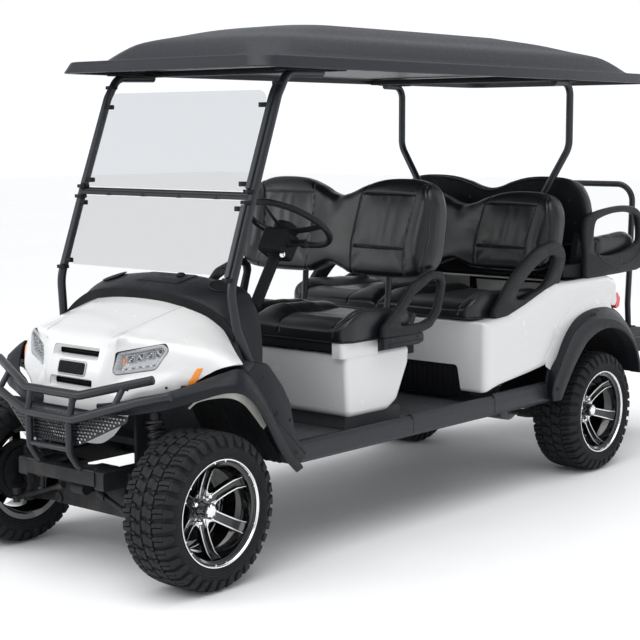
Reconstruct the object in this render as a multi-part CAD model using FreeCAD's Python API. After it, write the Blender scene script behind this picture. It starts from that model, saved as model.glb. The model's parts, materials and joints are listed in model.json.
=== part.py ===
import FreeCAD, Part
import math
import os

V = FreeCAD.Vector

# ---------------------------------------------------------------- dimensions
# millimetres; +Z up, the front faces -Y, +X is the vehicle's left.
# Coordinates below are measured from the middle of the wheelbase on the
# ground; every piece is shifted by -Y_MID as it is written, so that the
# origin ends at the middle of the whole object's footprint.
Y_MID = 350.0
WHEELBASE = 2610.0
AXLE_F = -WHEELBASE / 2
AXLE_R = WHEELBASE / 2
TRACK_X = 531.0            # wheel centre from the middle
TYRE_R = 286.0             # 23 x 10 - 14 tyre
TYRE_W = 236.0
RIM_LIP_R = 194.0
WHEEL_Z = TYRE_R
KINGPIN_X = 430.0
STEER_BALL = (385.0, -1400.0, 200.0)   # tie rod ball on the steering arm
TIE_INNER_X = 102.0
WALL = 5.0                 # moulded body panels
TUBE_R = 16.0              # brush guard and grab bar tube
STRUT_R = 17.0             # roof strut tube
FLOOR_TOP = 432.0
SILL_X = 605.0
SEAT_HALF = 530.0          # cushions
BACK_HALF = 548.0          # backrests
FRONT_SEAT_HINGE = (-474.0, 748.0)     # y, z
MID_SEAT_HINGE = (376.0, 806.0)
REAR_SEAT_HINGE = (1812.0, 998.0)
WHEEL_C = (272.0, -536.0, 1258.0)      # steering wheel centre
WHEEL_TILT = 32.0          # plane of the steering wheel, from level
WHEEL_RAD = 176.0
ROOF_HALF = 566.0
ROOF_Y0, ROOF_Y1 = -1006.0, 1934.0
ROOF_Z0, ROOF_BAND, ROOF_TOP = 1856.0, 48.0, 2064.0

os.makedirs("parts", exist_ok=True)


# ------------------------------------------------------------------- helpers
def box(x0, x1, y0, y1, z0, z1):
    return Part.makeBox(x1 - x0, y1 - y0, z1 - z0, V(x0, y0, z0))


def cyl(p, q, r):
    p, q = V(*p), V(*q)
    d = q.sub(p)
    return Part.makeCylinder(r, d.Length, p, d)


def ball(p, r):
    return Part.makeSphere(r, V(*p))


def mirror(s):
    return s.mirror(V(0, 0, 0), V(1, 0, 0))


def both(s):
    if isinstance(s, (list, tuple)):
        return [both(q) for q in s]
    return [s, mirror(s)]


def flatten(shapes):
    flat = []
    for s in shapes:
        flat += flatten(s) if isinstance(s, (list, tuple)) else [s]
    return flat


def fuse(*shapes):
    flat = flatten(shapes)
    out = flat[0]
    if len(flat) > 1:
        out = out.multiFuse(flat[1:])
    return out.removeSplitter()


def rounded(points, radii, closed=True):
    """A wire through the points with an arc at each corner."""
    pts = [V(*p) for p in points]
    n = len(pts)
    rs = radii if isinstance(radii, (list, tuple)) else [radii] * n
    cut = {}
    for i in range(n):
        if not closed and i in (0, n - 1):
            continue
        a, b, c = pts[i - 1], pts[i], pts[(i + 1) % n]
        u, w = a.sub(b), c.sub(b)
        lu, lw = u.Length, w.Length
        u.normalize()
        w.normalize()
        ang = math.acos(max(-1, min(1, u.dot(w))))
        if rs[i] <= 0.01 or ang > math.pi - 0.01:
            continue
        t = rs[i] / math.tan(ang / 2)
        t = min(t, 0.46 * lu, 0.46 * lw)
        r = t * math.tan(ang / 2)
        p0, p1 = b.add(u * t), b.add(w * t)
        bis = u.add(w)
        bis.normalize()
        centre = b.add(bis * (r / math.sin(ang / 2)))
        mid = centre.sub(bis * r)
        cut[i] = (p0, mid, p1)
    edges = []
    last = n if closed else n - 1
    for i in range(n):
        if i in cut:
            p0, m, p1 = cut[i]
            edges.append(Part.Arc(p0, m, p1).toShape())
        if i < last:
            j = (i + 1) % n
            s = cut[i][2] if i in cut else pts[i]
            e = cut[j][0] if j in cut else pts[j]
            if s.sub(e).Length > 0.01:
                edges.append(Part.LineSegment(s, e).toShape())
    return Part.Wire(Part.__sortEdges__(edges))


def prism(pts, axis, a, b, radii=0.0):
    """A plate: outline in the plane across the axis, from a to b."""
    if axis == "x":
        p3 = [(a, p[0], p[1]) for p in pts]
        d = V(b - a, 0, 0)
    elif axis == "y":
        p3 = [(p[0], a, p[1]) for p in pts]
        d = V(0, b - a, 0)
    else:
        p3 = [(p[0], p[1], a) for p in pts]
        d = V(0, 0, b - a)
    return Part.Face(rounded(p3, radii)).extrude(d)


def tube(points, r, bend, closed=False):
    """A round tube along straight runs and arcs."""
    path = rounded(points, bend, closed)
    e = path.OrderedEdges[0]
    p = e.valueAt(e.FirstParameter)
    t = e.tangentAt(e.FirstParameter)
    if e.Orientation == "Reversed":
        p = e.valueAt(e.LastParameter)
        t = e.tangentAt(e.LastParameter) * -1
    ring = Part.Wire([Part.Circle(p, t, r).toShape()])
    s = path.makePipeShell([ring], True, False)
    return s if s.ShapeType == "Solid" else Part.Solid(s)


def bar(points, w, h, bend, up=(1, 0, 0)):
    """A rounded rectangular bar along a planar path; w is along `up`."""
    path = rounded(points, bend, False)
    e = path.OrderedEdges[0]
    p = e.valueAt(e.FirstParameter)
    t = e.tangentAt(e.FirstParameter)
    u = V(*up)
    n = t.cross(u)
    n.normalize()
    c = []
    for a, b in ((-1, -1), (1, -1), (1, 1), (-1, 1)):
        q = p.add(u * (a * w / 2)).add(n * (b * h / 2))
        c.append((q.x, q.y, q.z))
    ring = rounded(c, min(w, h) * 0.3)
    return path.makePipeShell([ring], True, False)


def surface(grid):
    s = Part.BSplineSurface()
    s.interpolate([[V(*p) for p in row] for row in grid])
    return s


def smooth_line(pts, n):
    """n points evenly along a smooth curve through pts."""
    d = [0.0]
    for a, b in zip(pts, pts[1:]):
        d.append(d[-1] + max(1e-6, math.dist(a, b)) ** 0.75)
    k = len(pts)
    tan = []
    for i in range(k):
        lo, hi = max(0, i - 1), min(k - 1, i + 1)
        tan.append([(pts[hi][c] - pts[lo][c]) / (d[hi] - d[lo]) for c in range(3)])
    out, i = [], 0
    for j in range(n):
        t = d[-1] * j / (n - 1)
        while i < k - 2 and t > d[i + 1]:
            i += 1
        h = d[i + 1] - d[i]
        u = (t - d[i]) / h
        a, b = 2 * u ** 3 - 3 * u ** 2 + 1, u ** 3 - 2 * u ** 2 + u
        c, e = -2 * u ** 3 + 3 * u ** 2, u ** 3 - u ** 2
        out.append(tuple(a * pts[i][q] + b * h * tan[i][q] + c * pts[i + 1][q] + e * h * tan[i + 1][q]
                         for q in range(3)))
    return out


def smooth_grid(grid, nu, nv):
    rows = [smooth_line(r, nv) for r in grid]
    cols = [smooth_line([r[j] for r in rows], nu) for j in range(nv)]
    return [[cols[j][i] for j in range(nv)] for i in range(nu)]


def fitted(grid, tol):
    s = Part.BSplineSurface()
    s.approximate(Points=[[V(*p) for p in row] for row in grid], DegMin=3, DegMax=5, Continuity=1, Tolerance=tol)
    return s


def fitted_shell(grid, t, tol, flip=False):
    """A wall like shell(), from a dense grid with numeric normals."""
    nu, nv = len(grid), len(grid[0])
    inner = []
    for i in range(nu):
        row = []
        for j in range(nv):
            du = V(*grid[min(i + 1, nu - 1)][j]).sub(V(*grid[max(i - 1, 0)][j]))
            dv = V(*grid[i][min(j + 1, nv - 1)]).sub(V(*grid[i][max(j - 1, 0)]))
            n = du.cross(dv)
            n.normalize()
            row.append(tuple(V(*grid[i][j]).add(n * (t if flip else -t))))
        inner.append(row)
    outer, back = fitted(grid, tol), fitted(inner, tol)
    faces = [outer.toShape(), back.toShape()]

    def rim(q):
        b0, b1, c0, c1 = q.bounds()
        return [q.uIso(b0), q.uIso(b1), q.vIso(c0), q.vIso(c1)]

    for e, g in zip(rim(outer), rim(back)):
        faces.append(Part.makeRuledSurface(e.toShape(), g.toShape()))
    sh = Part.makeShell(faces)
    sh.sewShape()
    solid = Part.Solid(sh)
    if solid.Volume < 0:
        solid.reverse()
    return solid


def shell(grid, t, flip=False):
    """A wall of thickness t whose outer skin passes through the grid."""
    outer = surface(grid)
    nu, nv = len(grid), len(grid[0])
    u0, u1, v0, v1 = outer.bounds()
    inner = []
    for i in range(nu):
        row = []
        for j in range(nv):
            p = V(*grid[i][j])
            u, w = outer.parameter(p)
            n = outer.normal(min(max(u, u0), u1), min(max(w, v0), v1))
            row.append(tuple(p.add(n * (t if flip else -t))))
        inner.append(row)
    back = surface(inner)
    a, b = outer.toShape(), back.toShape()

    def rim(s):
        b0, b1, c0, c1 = s.bounds()
        return [s.uIso(b0), s.uIso(b1), s.vIso(c0), s.vIso(c1)]

    faces = [a, b]
    for e, g in zip(rim(outer), rim(back)):
        faces.append(Part.makeRuledSurface(e.toShape(), g.toShape()))
    sh = Part.makeShell(faces)
    sh.sewShape()
    solid = Part.Solid(sh)
    if solid.Volume < 0:
        solid.reverse()
    if not solid.isValid():
        solid.fix(0.01, 0.01, 0.1)
    return solid


def smooth_loop(pts):
    """A closed smooth wire through 3-D points."""
    c = Part.BSplineCurve()
    c.interpolate([V(*p) for p in pts], True)
    return Part.Wire([c.toShape()])


def plan_loop(hx, y0, y1, rf, rr, z, n=10, m=0):
    """Points of a rounded plan outline, the same number at any size."""
    pts = []

    def corner(cx, cy, r, a0):
        for k in range(n + 1):
            a = math.radians(a0 + 90.0 * k / n)
            pts.append((cx + r * math.cos(a), cy + r * math.sin(a), z))

    def run(xe, ye):
        x, y, _ = pts[-1]
        for k in range(1, m):
            pts.append((x + (xe - x) * k / m, y + (ye - y) * k / m, z))

    corner(hx - rr, y1 - rr, rr, 0)
    run(-hx + rr, y1)
    corner(-hx + rr, y1 - rr, rr, 90)
    run(-hx, y0 + rf)
    corner(-hx + rf, y0 + rf, rf, 180)
    run(hx - rf, y0)
    corner(hx - rf, y0 + rf, rf, 270)
    run(hx, y1 - rr)
    return pts


def plan_wire(hx, y0, y1, rf, rr, z):
    p = [(hx, y1, z), (-hx, y1, z), (-hx, y0, z), (hx, y0, z)]
    return rounded(p, [rr, rr, rf, rf])


NODES = {}


def put(name, *shapes):
    solids = []
    for s in flatten(shapes):
        solids += s.Solids
    NODES[name] = solids


# --------------------------------------------------------------------- wheels
def tyre(cx, cy, side):
    half = TYRE_W / 2
    prof = [(-97, 179), (-104, 186), (-108, 200), (-half, 232), (-115, 258),
            (-104, 280), (-60, 286), (60, 286), (104, 280), (115, 258),
            (half, 232), (108, 200), (104, 186), (97, 179), (84, 179),
            (92, 200), (100, 232), (98, 254), (88, 266), (50, 270),
            (-50, 270), (-88, 266), (-98, 254), (-100, 232), (-92, 200),
            (-84, 179)]
    pts = [(cx + side * a, cy, WHEEL_Z + r) for a, r in prof]
    w = rounded(pts, [2, 6, 20, 30, 25, 14, 0, 0, 14, 25, 30, 20, 6, 2, 2, 20,
                      20, 20, 12, 0, 0, 12, 20, 20, 20, 2])
    return Part.Face(w).revolve(V(cx, cy, WHEEL_Z), V(1, 0, 0), 360)


def rim(cx, cy, side):
    # barrel: outer lip, bead seats, drop centre, inner lip
    prof = [(109, RIM_LIP_R), (104, RIM_LIP_R), (98, 178.5), (62, 176),
            (40, 158), (-40, 158), (-66, 176), (-98, 178.5), (-104, 190),
            (-110, 190), (-104, 172), (-66, 168), (-44, 150), (34, 150),
            (58, 169), (96, 171), (109, 186)]
    pts = [(cx + side * a, cy, WHEEL_Z + r) for a, r in prof]
    barrel = Part.Face(rounded(pts, 2.0)).revolve(
        V(cx, cy, WHEEL_Z), V(1, 0, 0), 360)
    hub = cyl((cx + side * -22, cy, WHEEL_Z), (cx + side * 84, cy, WHEEL_Z), 40)
    plate = cyl((cx + side * -22, cy, WHEEL_Z), (cx + side * -4, cy, WHEEL_Z), 84)
    # one spoke in side profile: out from the hub, rising to the lip
    sp = [(-22, 30), (-4, 30), (22, 60), (34, 100), (56, 140), (84, 174),
          (70, 174), (40, 152), (14, 118), (-6, 84)]
    spoke = Part.Face(rounded(
        [(cx + side * a, cy - 24, WHEEL_Z + r) for a, r in sp], 4.0)
    ).extrude(V(0, 48, 0))
    out = [barrel, hub, plate]
    for k in range(6):
        s = spoke.copy()
        s.rotate(V(cx, cy, WHEEL_Z), V(1, 0, 0), 60 * k + 30)
        out.append(s)
    body = fuse(out)
    bore = cyl((cx + side * -30, cy, WHEEL_Z), (cx + side * 28, cy, WHEEL_Z), 17.2)
    return body.cut(bore)


for name, x, y in (("front_left", TRACK_X, AXLE_F), ("front_right", -TRACK_X, AXLE_F),
                   ("rear_left", TRACK_X, AXLE_R), ("rear_right", -TRACK_X, AXLE_R)):
    s = 1 if x > 0 else -1
    put("tyre_" + name, tyre(x, y, s))
    put("rim_" + name, rim(x, y, s))


# ------------------------------------------------------------ knuckles, steer
def knuckle():
    pin = cyl((KINGPIN_X, AXLE_F, 212), (KINGPIN_X, AXLE_F, 360), 20)
    spindle = cyl((KINGPIN_X, AXLE_F, WHEEL_Z), (552, AXLE_F, WHEEL_Z), 17)
    drum = cyl((458, AXLE_F, WHEEL_Z), (500, AXLE_F, WHEEL_Z), 96)
    bx, by, bz = STEER_BALL
    arm = tube([(KINGPIN_X, AXLE_F, 236), (KINGPIN_X - 8, AXLE_F - 50, 232),
                (bx, by, bz + 29)], 10, 30)
    eye = cyl((bx, by, bz + 16), (bx, by, bz + 42), 15)
    return fuse(pin, spindle, drum, arm, eye)


kn = knuckle()
put("knuckle_left", kn)
put("knuckle_right", mirror(kn))


def tie_rod():
    bx, by, bz = STEER_BALL
    head = cyl((bx, by, bz - 14), (bx, by, bz + 10), 14)
    rod = cyl((bx, by, bz), (TIE_INNER_X + 10, by, 292.6), 9)
    end = cyl((TIE_INNER_X, by, 296), (TIE_INNER_X + 34, by, 284.5), 13)
    return fuse(head, rod, end)


tr = tie_rod()
put("tie_rod_left", tr)
put("tie_rod_right", mirror(tr))


# ------------------------------------------------------------------ chassis
def rails():
    out = []
    side = prism([(-1500, 336), (-1010, 336), (1120, 336), (1200, 372), (1420, 372),
                  (1500, 350), (1560, 350), (1560, 404), (-1500, 404)],
                 "x", 190, 240, 10)
    out += both(side)
    for y in (-1480, -985, -300, 420, 1010, 1530):
        out.append(box(-195, 195, y - 25, y + 25, 350, 400))
    # shock towers at the front
    tower = fuse(box(236, 250, -1345, -1265, 400, 640),
                 prism([(236, 660), (236, 624), (345, 624), (345, 640)], "y", -1345, -1265))
    out += both(tower)
    return fuse(out)


put("frame_rails", rails())


def front_suspension():
    sub = box(-188, 188, -1352, -1235, 205, 335.5)
    post = both(box(150, 190, -1352, -1235, 330, 360))
    low = [cyl((185, AXLE_F + d, 226), (KINGPIN_X, AXLE_F, 191), 14) for d in (-40, 60)]
    up = [cyl((238, AXLE_F + d, 372), (KINGPIN_X, AXLE_F, 381), 12) for d in (-62, 62)]
    balls = [cyl((KINGPIN_X, AXLE_F, 172), (KINGPIN_X, AXLE_F, 210), 21),
             cyl((KINGPIN_X, AXLE_F, 362), (KINGPIN_X, AXLE_F, 398), 19)]
    piv = [cyl((185, AXLE_F - 52, 226), (185, AXLE_F + 74, 226), 20),
           cyl((247, AXLE_F - 78, 372), (247, AXLE_F + 78, 372), 16)]
    rack = cyl((-34, -1400, 300), (34, -1400, 300), 24)
    mount = box(-26, 26, -1402, -1345, 282, 330)
    half = low + up + balls + piv
    return fuse(sub, post, rack, mount, half, [mirror(h) for h in half])


put("front_suspension", front_suspension())


def shock(p, q, r):
    """Damper with its coil, turned as one solid with a bead for each coil."""
    p, q = V(*p), V(*q)
    d = q.sub(p)
    h = d.Length
    prof = [(0, 0), (14, 0), (14, 0.13 * h), (r + 6, 0.13 * h), (r + 6, 0.15 * h)]
    for k in range(9):
        z = 0.15 * h + 0.72 * h * (k + 0.5) / 9.0
        w = 0.72 * h / 9.0
        prof += [(r - 5, z - 0.40 * w), (r + 2, z - 0.24 * w), (r + 5, z), (r + 2, z + 0.24 * w), (r - 5, z + 0.40 * w)]
    prof += [(r + 6, 0.87 * h), (r + 6, 0.89 * h), (21, 0.89 * h), (21, 0.96 * h), (13, 0.96 * h), (13, h), (0, h)]
    w = Part.makePolygon([V(x, 0, z) for x, z in prof + prof[:1]])
    s = Part.Face(w).revolve(V(0, 0, 0), V(0, 0, 1), 360)
    s = Part.Solid(s) if s.ShapeType != "Solid" else s
    s.Placement = FreeCAD.Placement(p, FreeCAD.Rotation(V(0, 0, 1), d))
    return s


fs = shock((345, AXLE_F, 236), (300, AXLE_F, 622), 29)
put("front_shocks", both(fs))


def rear_axle():
    tubes = cyl((-402, AXLE_R, WHEEL_Z), (402, AXLE_R, WHEEL_Z), 36)
    drums = both(cyl((400, AXLE_R, WHEEL_Z), (470, AXLE_R, WHEEL_Z), 100))
    flange = both(cyl((468, AXLE_R, WHEEL_Z), (508, AXLE_R, WHEEL_Z), 46))
    pins = both(cyl((500, AXLE_R, WHEEL_Z), (556, AXLE_R, WHEEL_Z), 17))
    diff = cyl((-10, AXLE_R, WHEEL_Z), (110, AXLE_R, WHEEL_Z), 104)
    gear = prism([(AXLE_R - 190, 226), (AXLE_R + 20, 200), (AXLE_R + 30, 372),
                  (AXLE_R - 190, 356)], "x", 20, 92, 26)
    motor = cyl((-170, AXLE_R - 150, 292), (22, AXLE_R - 150, 292), 82)
    cap = cyl((-186, AXLE_R - 150, 292), (-168, AXLE_R - 150, 292), 56)
    return fuse(tubes, drums, flange, pins, diff, gear, motor, cap)


put("rear_axle", rear_axle())


def leaf_spring():
    x0, x1 = 262, 322
    def curve(y):
        return 266 + 70 * (y / 400.0) ** 2
    steps = [(400, 320, 9), (320, 240, 18), (240, 160, 27), (160, 0, 36)]
    top = [(AXLE_R + y, curve(y)) for y in range(-400, 401, 40)]
    low = []
    for y1, y0, t in steps:
        for y in range(y1, y0 - 1, -40):
            low.append((y, curve(y) - t))
    low += [(-y, z) for y, z in reversed(low) if y > 0]
    leaves = [prism(top + [(AXLE_R + y, z) for y, z in low], "x", x0, x1)]
    eyes = [cyl((x0, AXLE_R + s * 400, 334), (x1, AXLE_R + s * 400, 334), 20) for s in (-1, 1)]
    hang = [prism([(AXLE_R + s * 400 - 26, 330), (AXLE_R + s * 400 + 26, 330),
                   (AXLE_R + s * 400 + 34, 404), (AXLE_R + s * 400 - 34, 404)],
                  "x", 240, 256, 8) for s in (-1, 1)]
    pins = [cyl((238, AXLE_R + s * 400, 334), (x0 + 4, AXLE_R + s * 400, 334), 10) for s in (-1, 1)]
    clamp = box(x0 - 6, x1 + 6, AXLE_R - 48, AXLE_R + 48, 226, 262)
    damper = cyl((350, AXLE_R + 60, 262), (300, AXLE_R + 150, 620), 24)
    rodp = cyl((352, AXLE_R + 56, 240), (350, AXLE_R + 60, 266), 12)
    foot = box(318, 372, AXLE_R + 30, AXLE_R + 84, 232, 250)
    top = prism([(236, 600), (330, 600), (330, 632), (236, 632)], "y", AXLE_R + 120, AXLE_R + 176, 6)
    post = box(236, 252, AXLE_R + 120, AXLE_R + 176, 372, 610)
    return fuse(leaves, eyes, hang, pins, clamp, damper, rodp, foot, top, post)


put("leaf_springs", both(leaf_spring()))

put("battery_pack", box(-330, 330, 560, 1000, 436, 700))


# ---------------------------------------------------------------------- floor
def floor_pan():
    plate = prism([(-566, -930), (-480, -940), (-300, -1046), (-250, -1085), (250, -1085), (300, -1046),
                   (480, -940), (566, -930), (566, 560), (-566, 560)], "z", 404.5, FLOOR_TOP, 12)
    toe = prism([(-956, 408), (-936, 424), (-1072, 700), (-1072, 796), (-1087, 796),
                 (-1087, 690)], "x", -500, 500)
    plinth = prism([(-420, 430), (-60, 430), (-60, 486.5), (-420, 486.5)], "x", -470, 470, 6)
    ribs = []
    return fuse(plate, toe, plinth)


put("floor_pan", floor_pan())


def rocker():
    def sec(y0, y1, grow):
        p = [(566, 404), (566, 448), (574, 462 + grow), (590, 466 + grow), (SILL_X - 3, 452 + grow),
             (SILL_X + grow * 0.2, 434), (SILL_X + grow * 0.2, 398), (590, 380), (574, 380)]
        return prism(p, "y", y0, y1, [0, 4, 8, 8, 10, 14, 12, 8, 0])
    out = [sec(-862, -140, 0), sec(-142, 448, 6), sec(446, 900, 14)]
    for y in (-700, 700):
        out.append(box(240.5, 580, y - 25, y + 25, 382, 404))
    return fuse(out)


put("rockers", both(rocker()))


# ------------------------------------------------------------ seats and bases
def seat_base():
    side = [(-450, 487), (-190, 487), (-128, 520), (-52, 668), (-46, 742), (-462, 742), (-462, 700)]
    rad = [30, 40, 60, 60, 20, 12, 60]
    outer = prism(side, "x", -512, 512, rad)
    edges = [e for e in outer.Edges if abs(abs(e.CenterOfMass.x) - 512) < 0.5]
    try:
        outer = outer.makeFillet(22, edges)
    except Exception:
        pass
    cavity = prism([(-444, 494), (-194, 494), (-134, 526), (-60, 672), (-54, 760), (-454, 760), (-454, 704)],
                   "x", -505, 505, 22)
    return outer.cut(cavity)


put("front_seat_base", seat_base())


def cushion(half, y0, y1, z0, z1, r):
    b = box(-half, half, y0, y1, z0, z1)
    vert = [e for e in b.Edges if abs(e.BoundBox.ZLength) > 1]
    b = b.makeFillet(r, vert)
    top = [e for e in b.Edges if e.BoundBox.ZMin > z1 - 0.5]
    try:
        b = b.makeFillet(24, top)
    except Exception:
        pass
    return b


put("front_seat_cushion", cushion(SEAT_HALF, -486, -34, 750, 918, 60))
put("middle_seat_cushion", cushion(SEAT_HALF, 366, 955, 808, 922, 60))
put("rear_seat_cushion", cushion(SEAT_HALF, 1402, 1806, 1012.4, 1124, 60))
put("rear_cargo_deck", prism([(-524, 1396), (524, 1396), (524, 1808), (-524, 1808)], "z", 1000, 1012, 20))


def backrest(y_low, y_top, z_low, peak, valley, thick, half=BACK_HALF):
    """Two-humped backrest, leaning from y_low to y_top."""
    xs = [(-half, z_low + 40), (-half + 2, valley - 40), (-half + 40, peak - 30), (-half + 120, peak - 4),
          (-265, peak), (-150, peak - 6), (-60, valley + 12), (0, valley), (60, valley + 12),
          (150, peak - 6), (265, peak), (half - 120, peak - 4), (half - 40, peak - 30),
          (half - 2, valley - 40), (half, z_low + 40), (half - 40, z_low), (-half + 40, z_low)]
    h = peak - z_low
    lean = (y_top - y_low) / h
    w = rounded([(x, y_low + lean * (z - z_low), z) for x, z in xs],
                [30, 60, 60, 60, 60, 60, 60, 60, 60, 60, 60, 60, 60, 60, 30, 30, 30])
    face = Part.Face(w)
    n = V(0, 1, -lean)
    n.normalize()
    return face.extrude(n * thick)


put("front_seat_backrest", backrest(24, 112, 1002, 1425, 1352, 88))
put("middle_seat_backrest", backrest(952, 1052, 966, 1338, 1276, 88))


def rear_back():
    s = backrest(0, -70, 1066, 1405, 1347, -66)
    s.translate(V(0, 1382, 0))
    return s


put("rear_seat_backrest", rear_back())


def front_supports():
    out = []
    for x in (-430, -250, 250, 430):
        out.append(tube([(x, -20, 735), (x, 60, 760), (x, 92, 880), (x, 128, 1004), (x, 156, 1110)], 13, 40))
    out.append(cyl((-470, 96, 890), (470, 96, 890), 12))
    out.append(box(-500, 500, -52, 0, 700, 742))
    out.append(both(prism([(-60, 505), (0, 505), (30, 742), (-60, 742)], "x", 476, 500, 6)))
    for x in (-430, 430):
        out.append(prism([(108, 1012), (150, 1012), (190, 1200), (160, 1210)], "x", x - 20, x + 20, 8))
    return fuse(out)


put("front_seat_supports", front_supports())


def loop(side_pts, x0, x1, width, closed=True, plate=None):
    """An armrest: a closed bar loop in the side plane, with its base plate."""
    outer = prism(side_pts[0], "x", x0, x1, side_pts[1])
    inner = prism(side_pts[2], "x", x0 - 1, x1 + 1, side_pts[3])
    return outer.cut(inner)


def front_arm():
    o = [(-303, 752), (-298, 832), (-168, 935), (-100, 1004), (30, 1046), (112, 1040), (126, 985), (92, 868), (28, 812), (-36, 800), (-38, 752)]
    i = [(-212, 830), (-88, 952), (28, 1010), (86, 1008), (90, 975), (56, 880), (20, 850), (-40, 835)]
    return loop((o, [10, 30, 60, 60, 40, 30, 30, 50, 30, 20, 10], i, [20, 40, 40, 15, 15, 30, 20, 20]),
                SEAT_HALF + 12, SEAT_HALF + 44, 30)


def mid_arm():
    o = [(440, 800), (448, 858), (600, 1006), (770, 1108), (905, 1134), (1004, 1112), (1016, 1060), (985, 940), (900, 838), (780, 812), (560, 796)]
    i = [(560, 852), (660, 968), (800, 1062), (905, 1094), (965, 1080), (972, 1050), (940, 960), (880, 888), (770, 858)]
    return loop((o, [10, 30, 60, 60, 50, 30, 30, 60, 50, 40, 20], i, [20, 40, 40, 30, 15, 15, 30, 30, 30]),
                SEAT_HALF + 12, SEAT_HALF + 46, 30)


def rear_arm():
    o = [(1236, 930), (1236, 1196), (1300, 1246), (1440, 1268), (1640, 1288), (1790, 1262), (1846, 1190), (1850, 1060), (1820, 930)]
    i = [(1282, 1030), (1282, 1176), (1340, 1206), (1560, 1238), (1720, 1238), (1790, 1180), (1796, 1080), (1700, 1026), (1500, 1010)]
    return loop((o, [8, 50, 60, 60, 60, 60, 60, 60, 60], i, [20, 40, 30, 40, 40, 40, 40, 60, 60]),
                SEAT_HALF + 12, SEAT_HALF + 44, 30)


put("front_armrests", both(front_arm()))
put("rear_armrests", both(rear_arm()))


def rear_seat_frame():
    sides = both(prism([(1096, 942), (1096, 994), (1796, 994), (1796, 930), (1300, 925)], "x", 504, 540, 6))
    back = box(-504, 504, 1380, 1394, 940, 994)
    cross = [box(-504, 504, 1140, 1190, 940, 994), box(-504, 504, 1756, 1796, 942, 994)]
    posts = both(prism([(1262, 990), (1330, 990), (1352, 1210), (1318, 1210)], "x", 470, 500, 8))
    legs = both(box(236, 276, 1500, 1540, 404, 944))
    tail = box(-276, 276, 1500, 1540, 860, 900)
    inner = both(box(236, 276, 1180, 1540, 926, 944))
    return fuse(sides, back, cross, posts, legs, tail, inner)


put("rear_seat_frame", rear_seat_frame())


def footrest():
    deck = prism([(-500, 1800), (500, 1800), (500, 2250), (460, 2291), (-460, 2291), (-500, 2250)],
                 "z", 548, 572, 12)
    lip = both(prism([(1800, 500), (2270, 500), (2270, 552), (1800, 552)], "x", 480, 500, 6))
    arms = both(prism([(1500, 420), (1560, 420), (1800, 520), (2200, 530), (2200, 549), (1780, 549), (1500, 470)],
                      "x", 196, 236, 8))
    cross = box(-480, 480, 1800, 1830, 500, 552)
    pads = both(prism([(200, 2232), (270, 2232), (270, 2286), (200, 2286)], "z", 570, 578, 8))
    return fuse(deck, lip, arms, cross, pads)


put("footrest", footrest())

HOOP = [(235, 2262, 578), (235, 2250, 700), (235, 2262, 900), (242, 2266, 1338), (-242, 2266, 1338),
        (-235, 2262, 900), (-235, 2250, 700), (-235, 2262, 578)]
put("grab_bar", tube(HOOP, TUBE_R, [0, 60, 60, 92, 92, 60, 60, 0]))


# --------------------------------------------------------------- rear bodywork
def rear_body():
    side = [(390, 796), (390, 476), (500, 499), (731, 524), (880, 545), (905, 580), (950, 655), (1040, 735),
            (1110, 775), (1250, 792), (1500, 760), (1520, 800), (1506, 905), (1440, 928), (1103, 925),
            (972, 925), (887, 905), (723, 852), (579, 812)]
    rad = [10, 20, 20, 20, 20, 40, 60, 60, 60, 60, 30, 30, 60, 40, 40, 60, 60, 60, 60]
    outer = prism(side, "x", -600, 600, rad)
    edges = [e for e in outer.Edges if abs(abs(e.CenterOfMass.x) - 600) < 0.5]
    for r in (38, 30, 18):
        try:
            outer = outer.makeFillet(r, edges)
            break
        except Exception:
            continue
    inner = prism([(396, 790), (396, 400), (500, 400), (731, 400), (880, 400), (1100, 400), (1250, 400),
                   (1508, 400), (1512, 800), (1498, 898), (1436, 921), (1103, 918),
                   (974, 918), (889, 898), (725, 845), (581, 805)], "x", -594, 594, 5)
    ends = [e for e in inner.Edges if abs(abs(e.CenterOfMass.x) - 594) < 0.5 and e.CenterOfMass.z > 780]
    for r in (34, 26, 14):
        try:
            inner = inner.makeFillet(r, ends)
            break
        except Exception:
            continue
    out = outer.cut(inner)
    # well for the middle cushion, between the side cheeks
    out = out.cut(box(-542, 542, 380, 1092, 803, 1000))
    # battery bay opening under the front edge
    out = out.cut(prism([(-470, 440), (470, 440), (440, 600), (-440, 600)], "y", 380, 420, 20))
    return out, outer


rear_shell, rear_block = rear_body()
put("rear_body", rear_shell)
# the middle armrests stand on the shoulders of the rear body
put("middle_armrests", [k.cut(rear_block) for k in flatten([both(mid_arm())])])


def arch(x0, x1, r_in, r_out, y, z, a0, a1, n=14):
    """A plain curved band over a wheel."""
    pts = []
    for k in range(n + 1):
        a = math.radians(a0 + (a1 - a0) * k / n)
        pts.append((y + r_in * math.cos(a), z + r_in * math.sin(a)))
    for k in range(n + 1):
        a = math.radians(a1 + (a0 - a1) * k / n)
        pts.append((y + r_out * math.cos(a), z + r_out * math.sin(a)))
    return prism(pts, "x", x0, x1)


def mid(p, q, dx=0.0, dz=0.0, t=0.5):
    return (p[0] + (q[0] - p[0]) * t + dx, p[1] + (q[1] - p[1]) * t, p[2] + (q[2] - p[2]) * t + dz)


# Rear flare: outer contour and arch line at matching stations (y, z).
ARCH_OUT = [(842, 398), (824, 440), (819, 500), (828, 560), (852, 614), (892, 668), (944, 722), (1010, 764), (1098, 790),
            (1180, 797), (1270, 794), (1354, 778), (1430, 748), (1500, 700), (1560, 634), (1600, 560), (1622, 490),
            (1630, 442)]
ARCH_IN = [(868, 398), (876, 436), (888, 484), (906, 530), (932, 574), (966, 612), (1010, 644), (1066, 666), (1130, 681),
           (1200, 689), (1290, 690), (1370, 682), (1440, 660), (1496, 624), (1540, 580), (1572, 530), (1594, 480),
           (1602, 442)]


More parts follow.
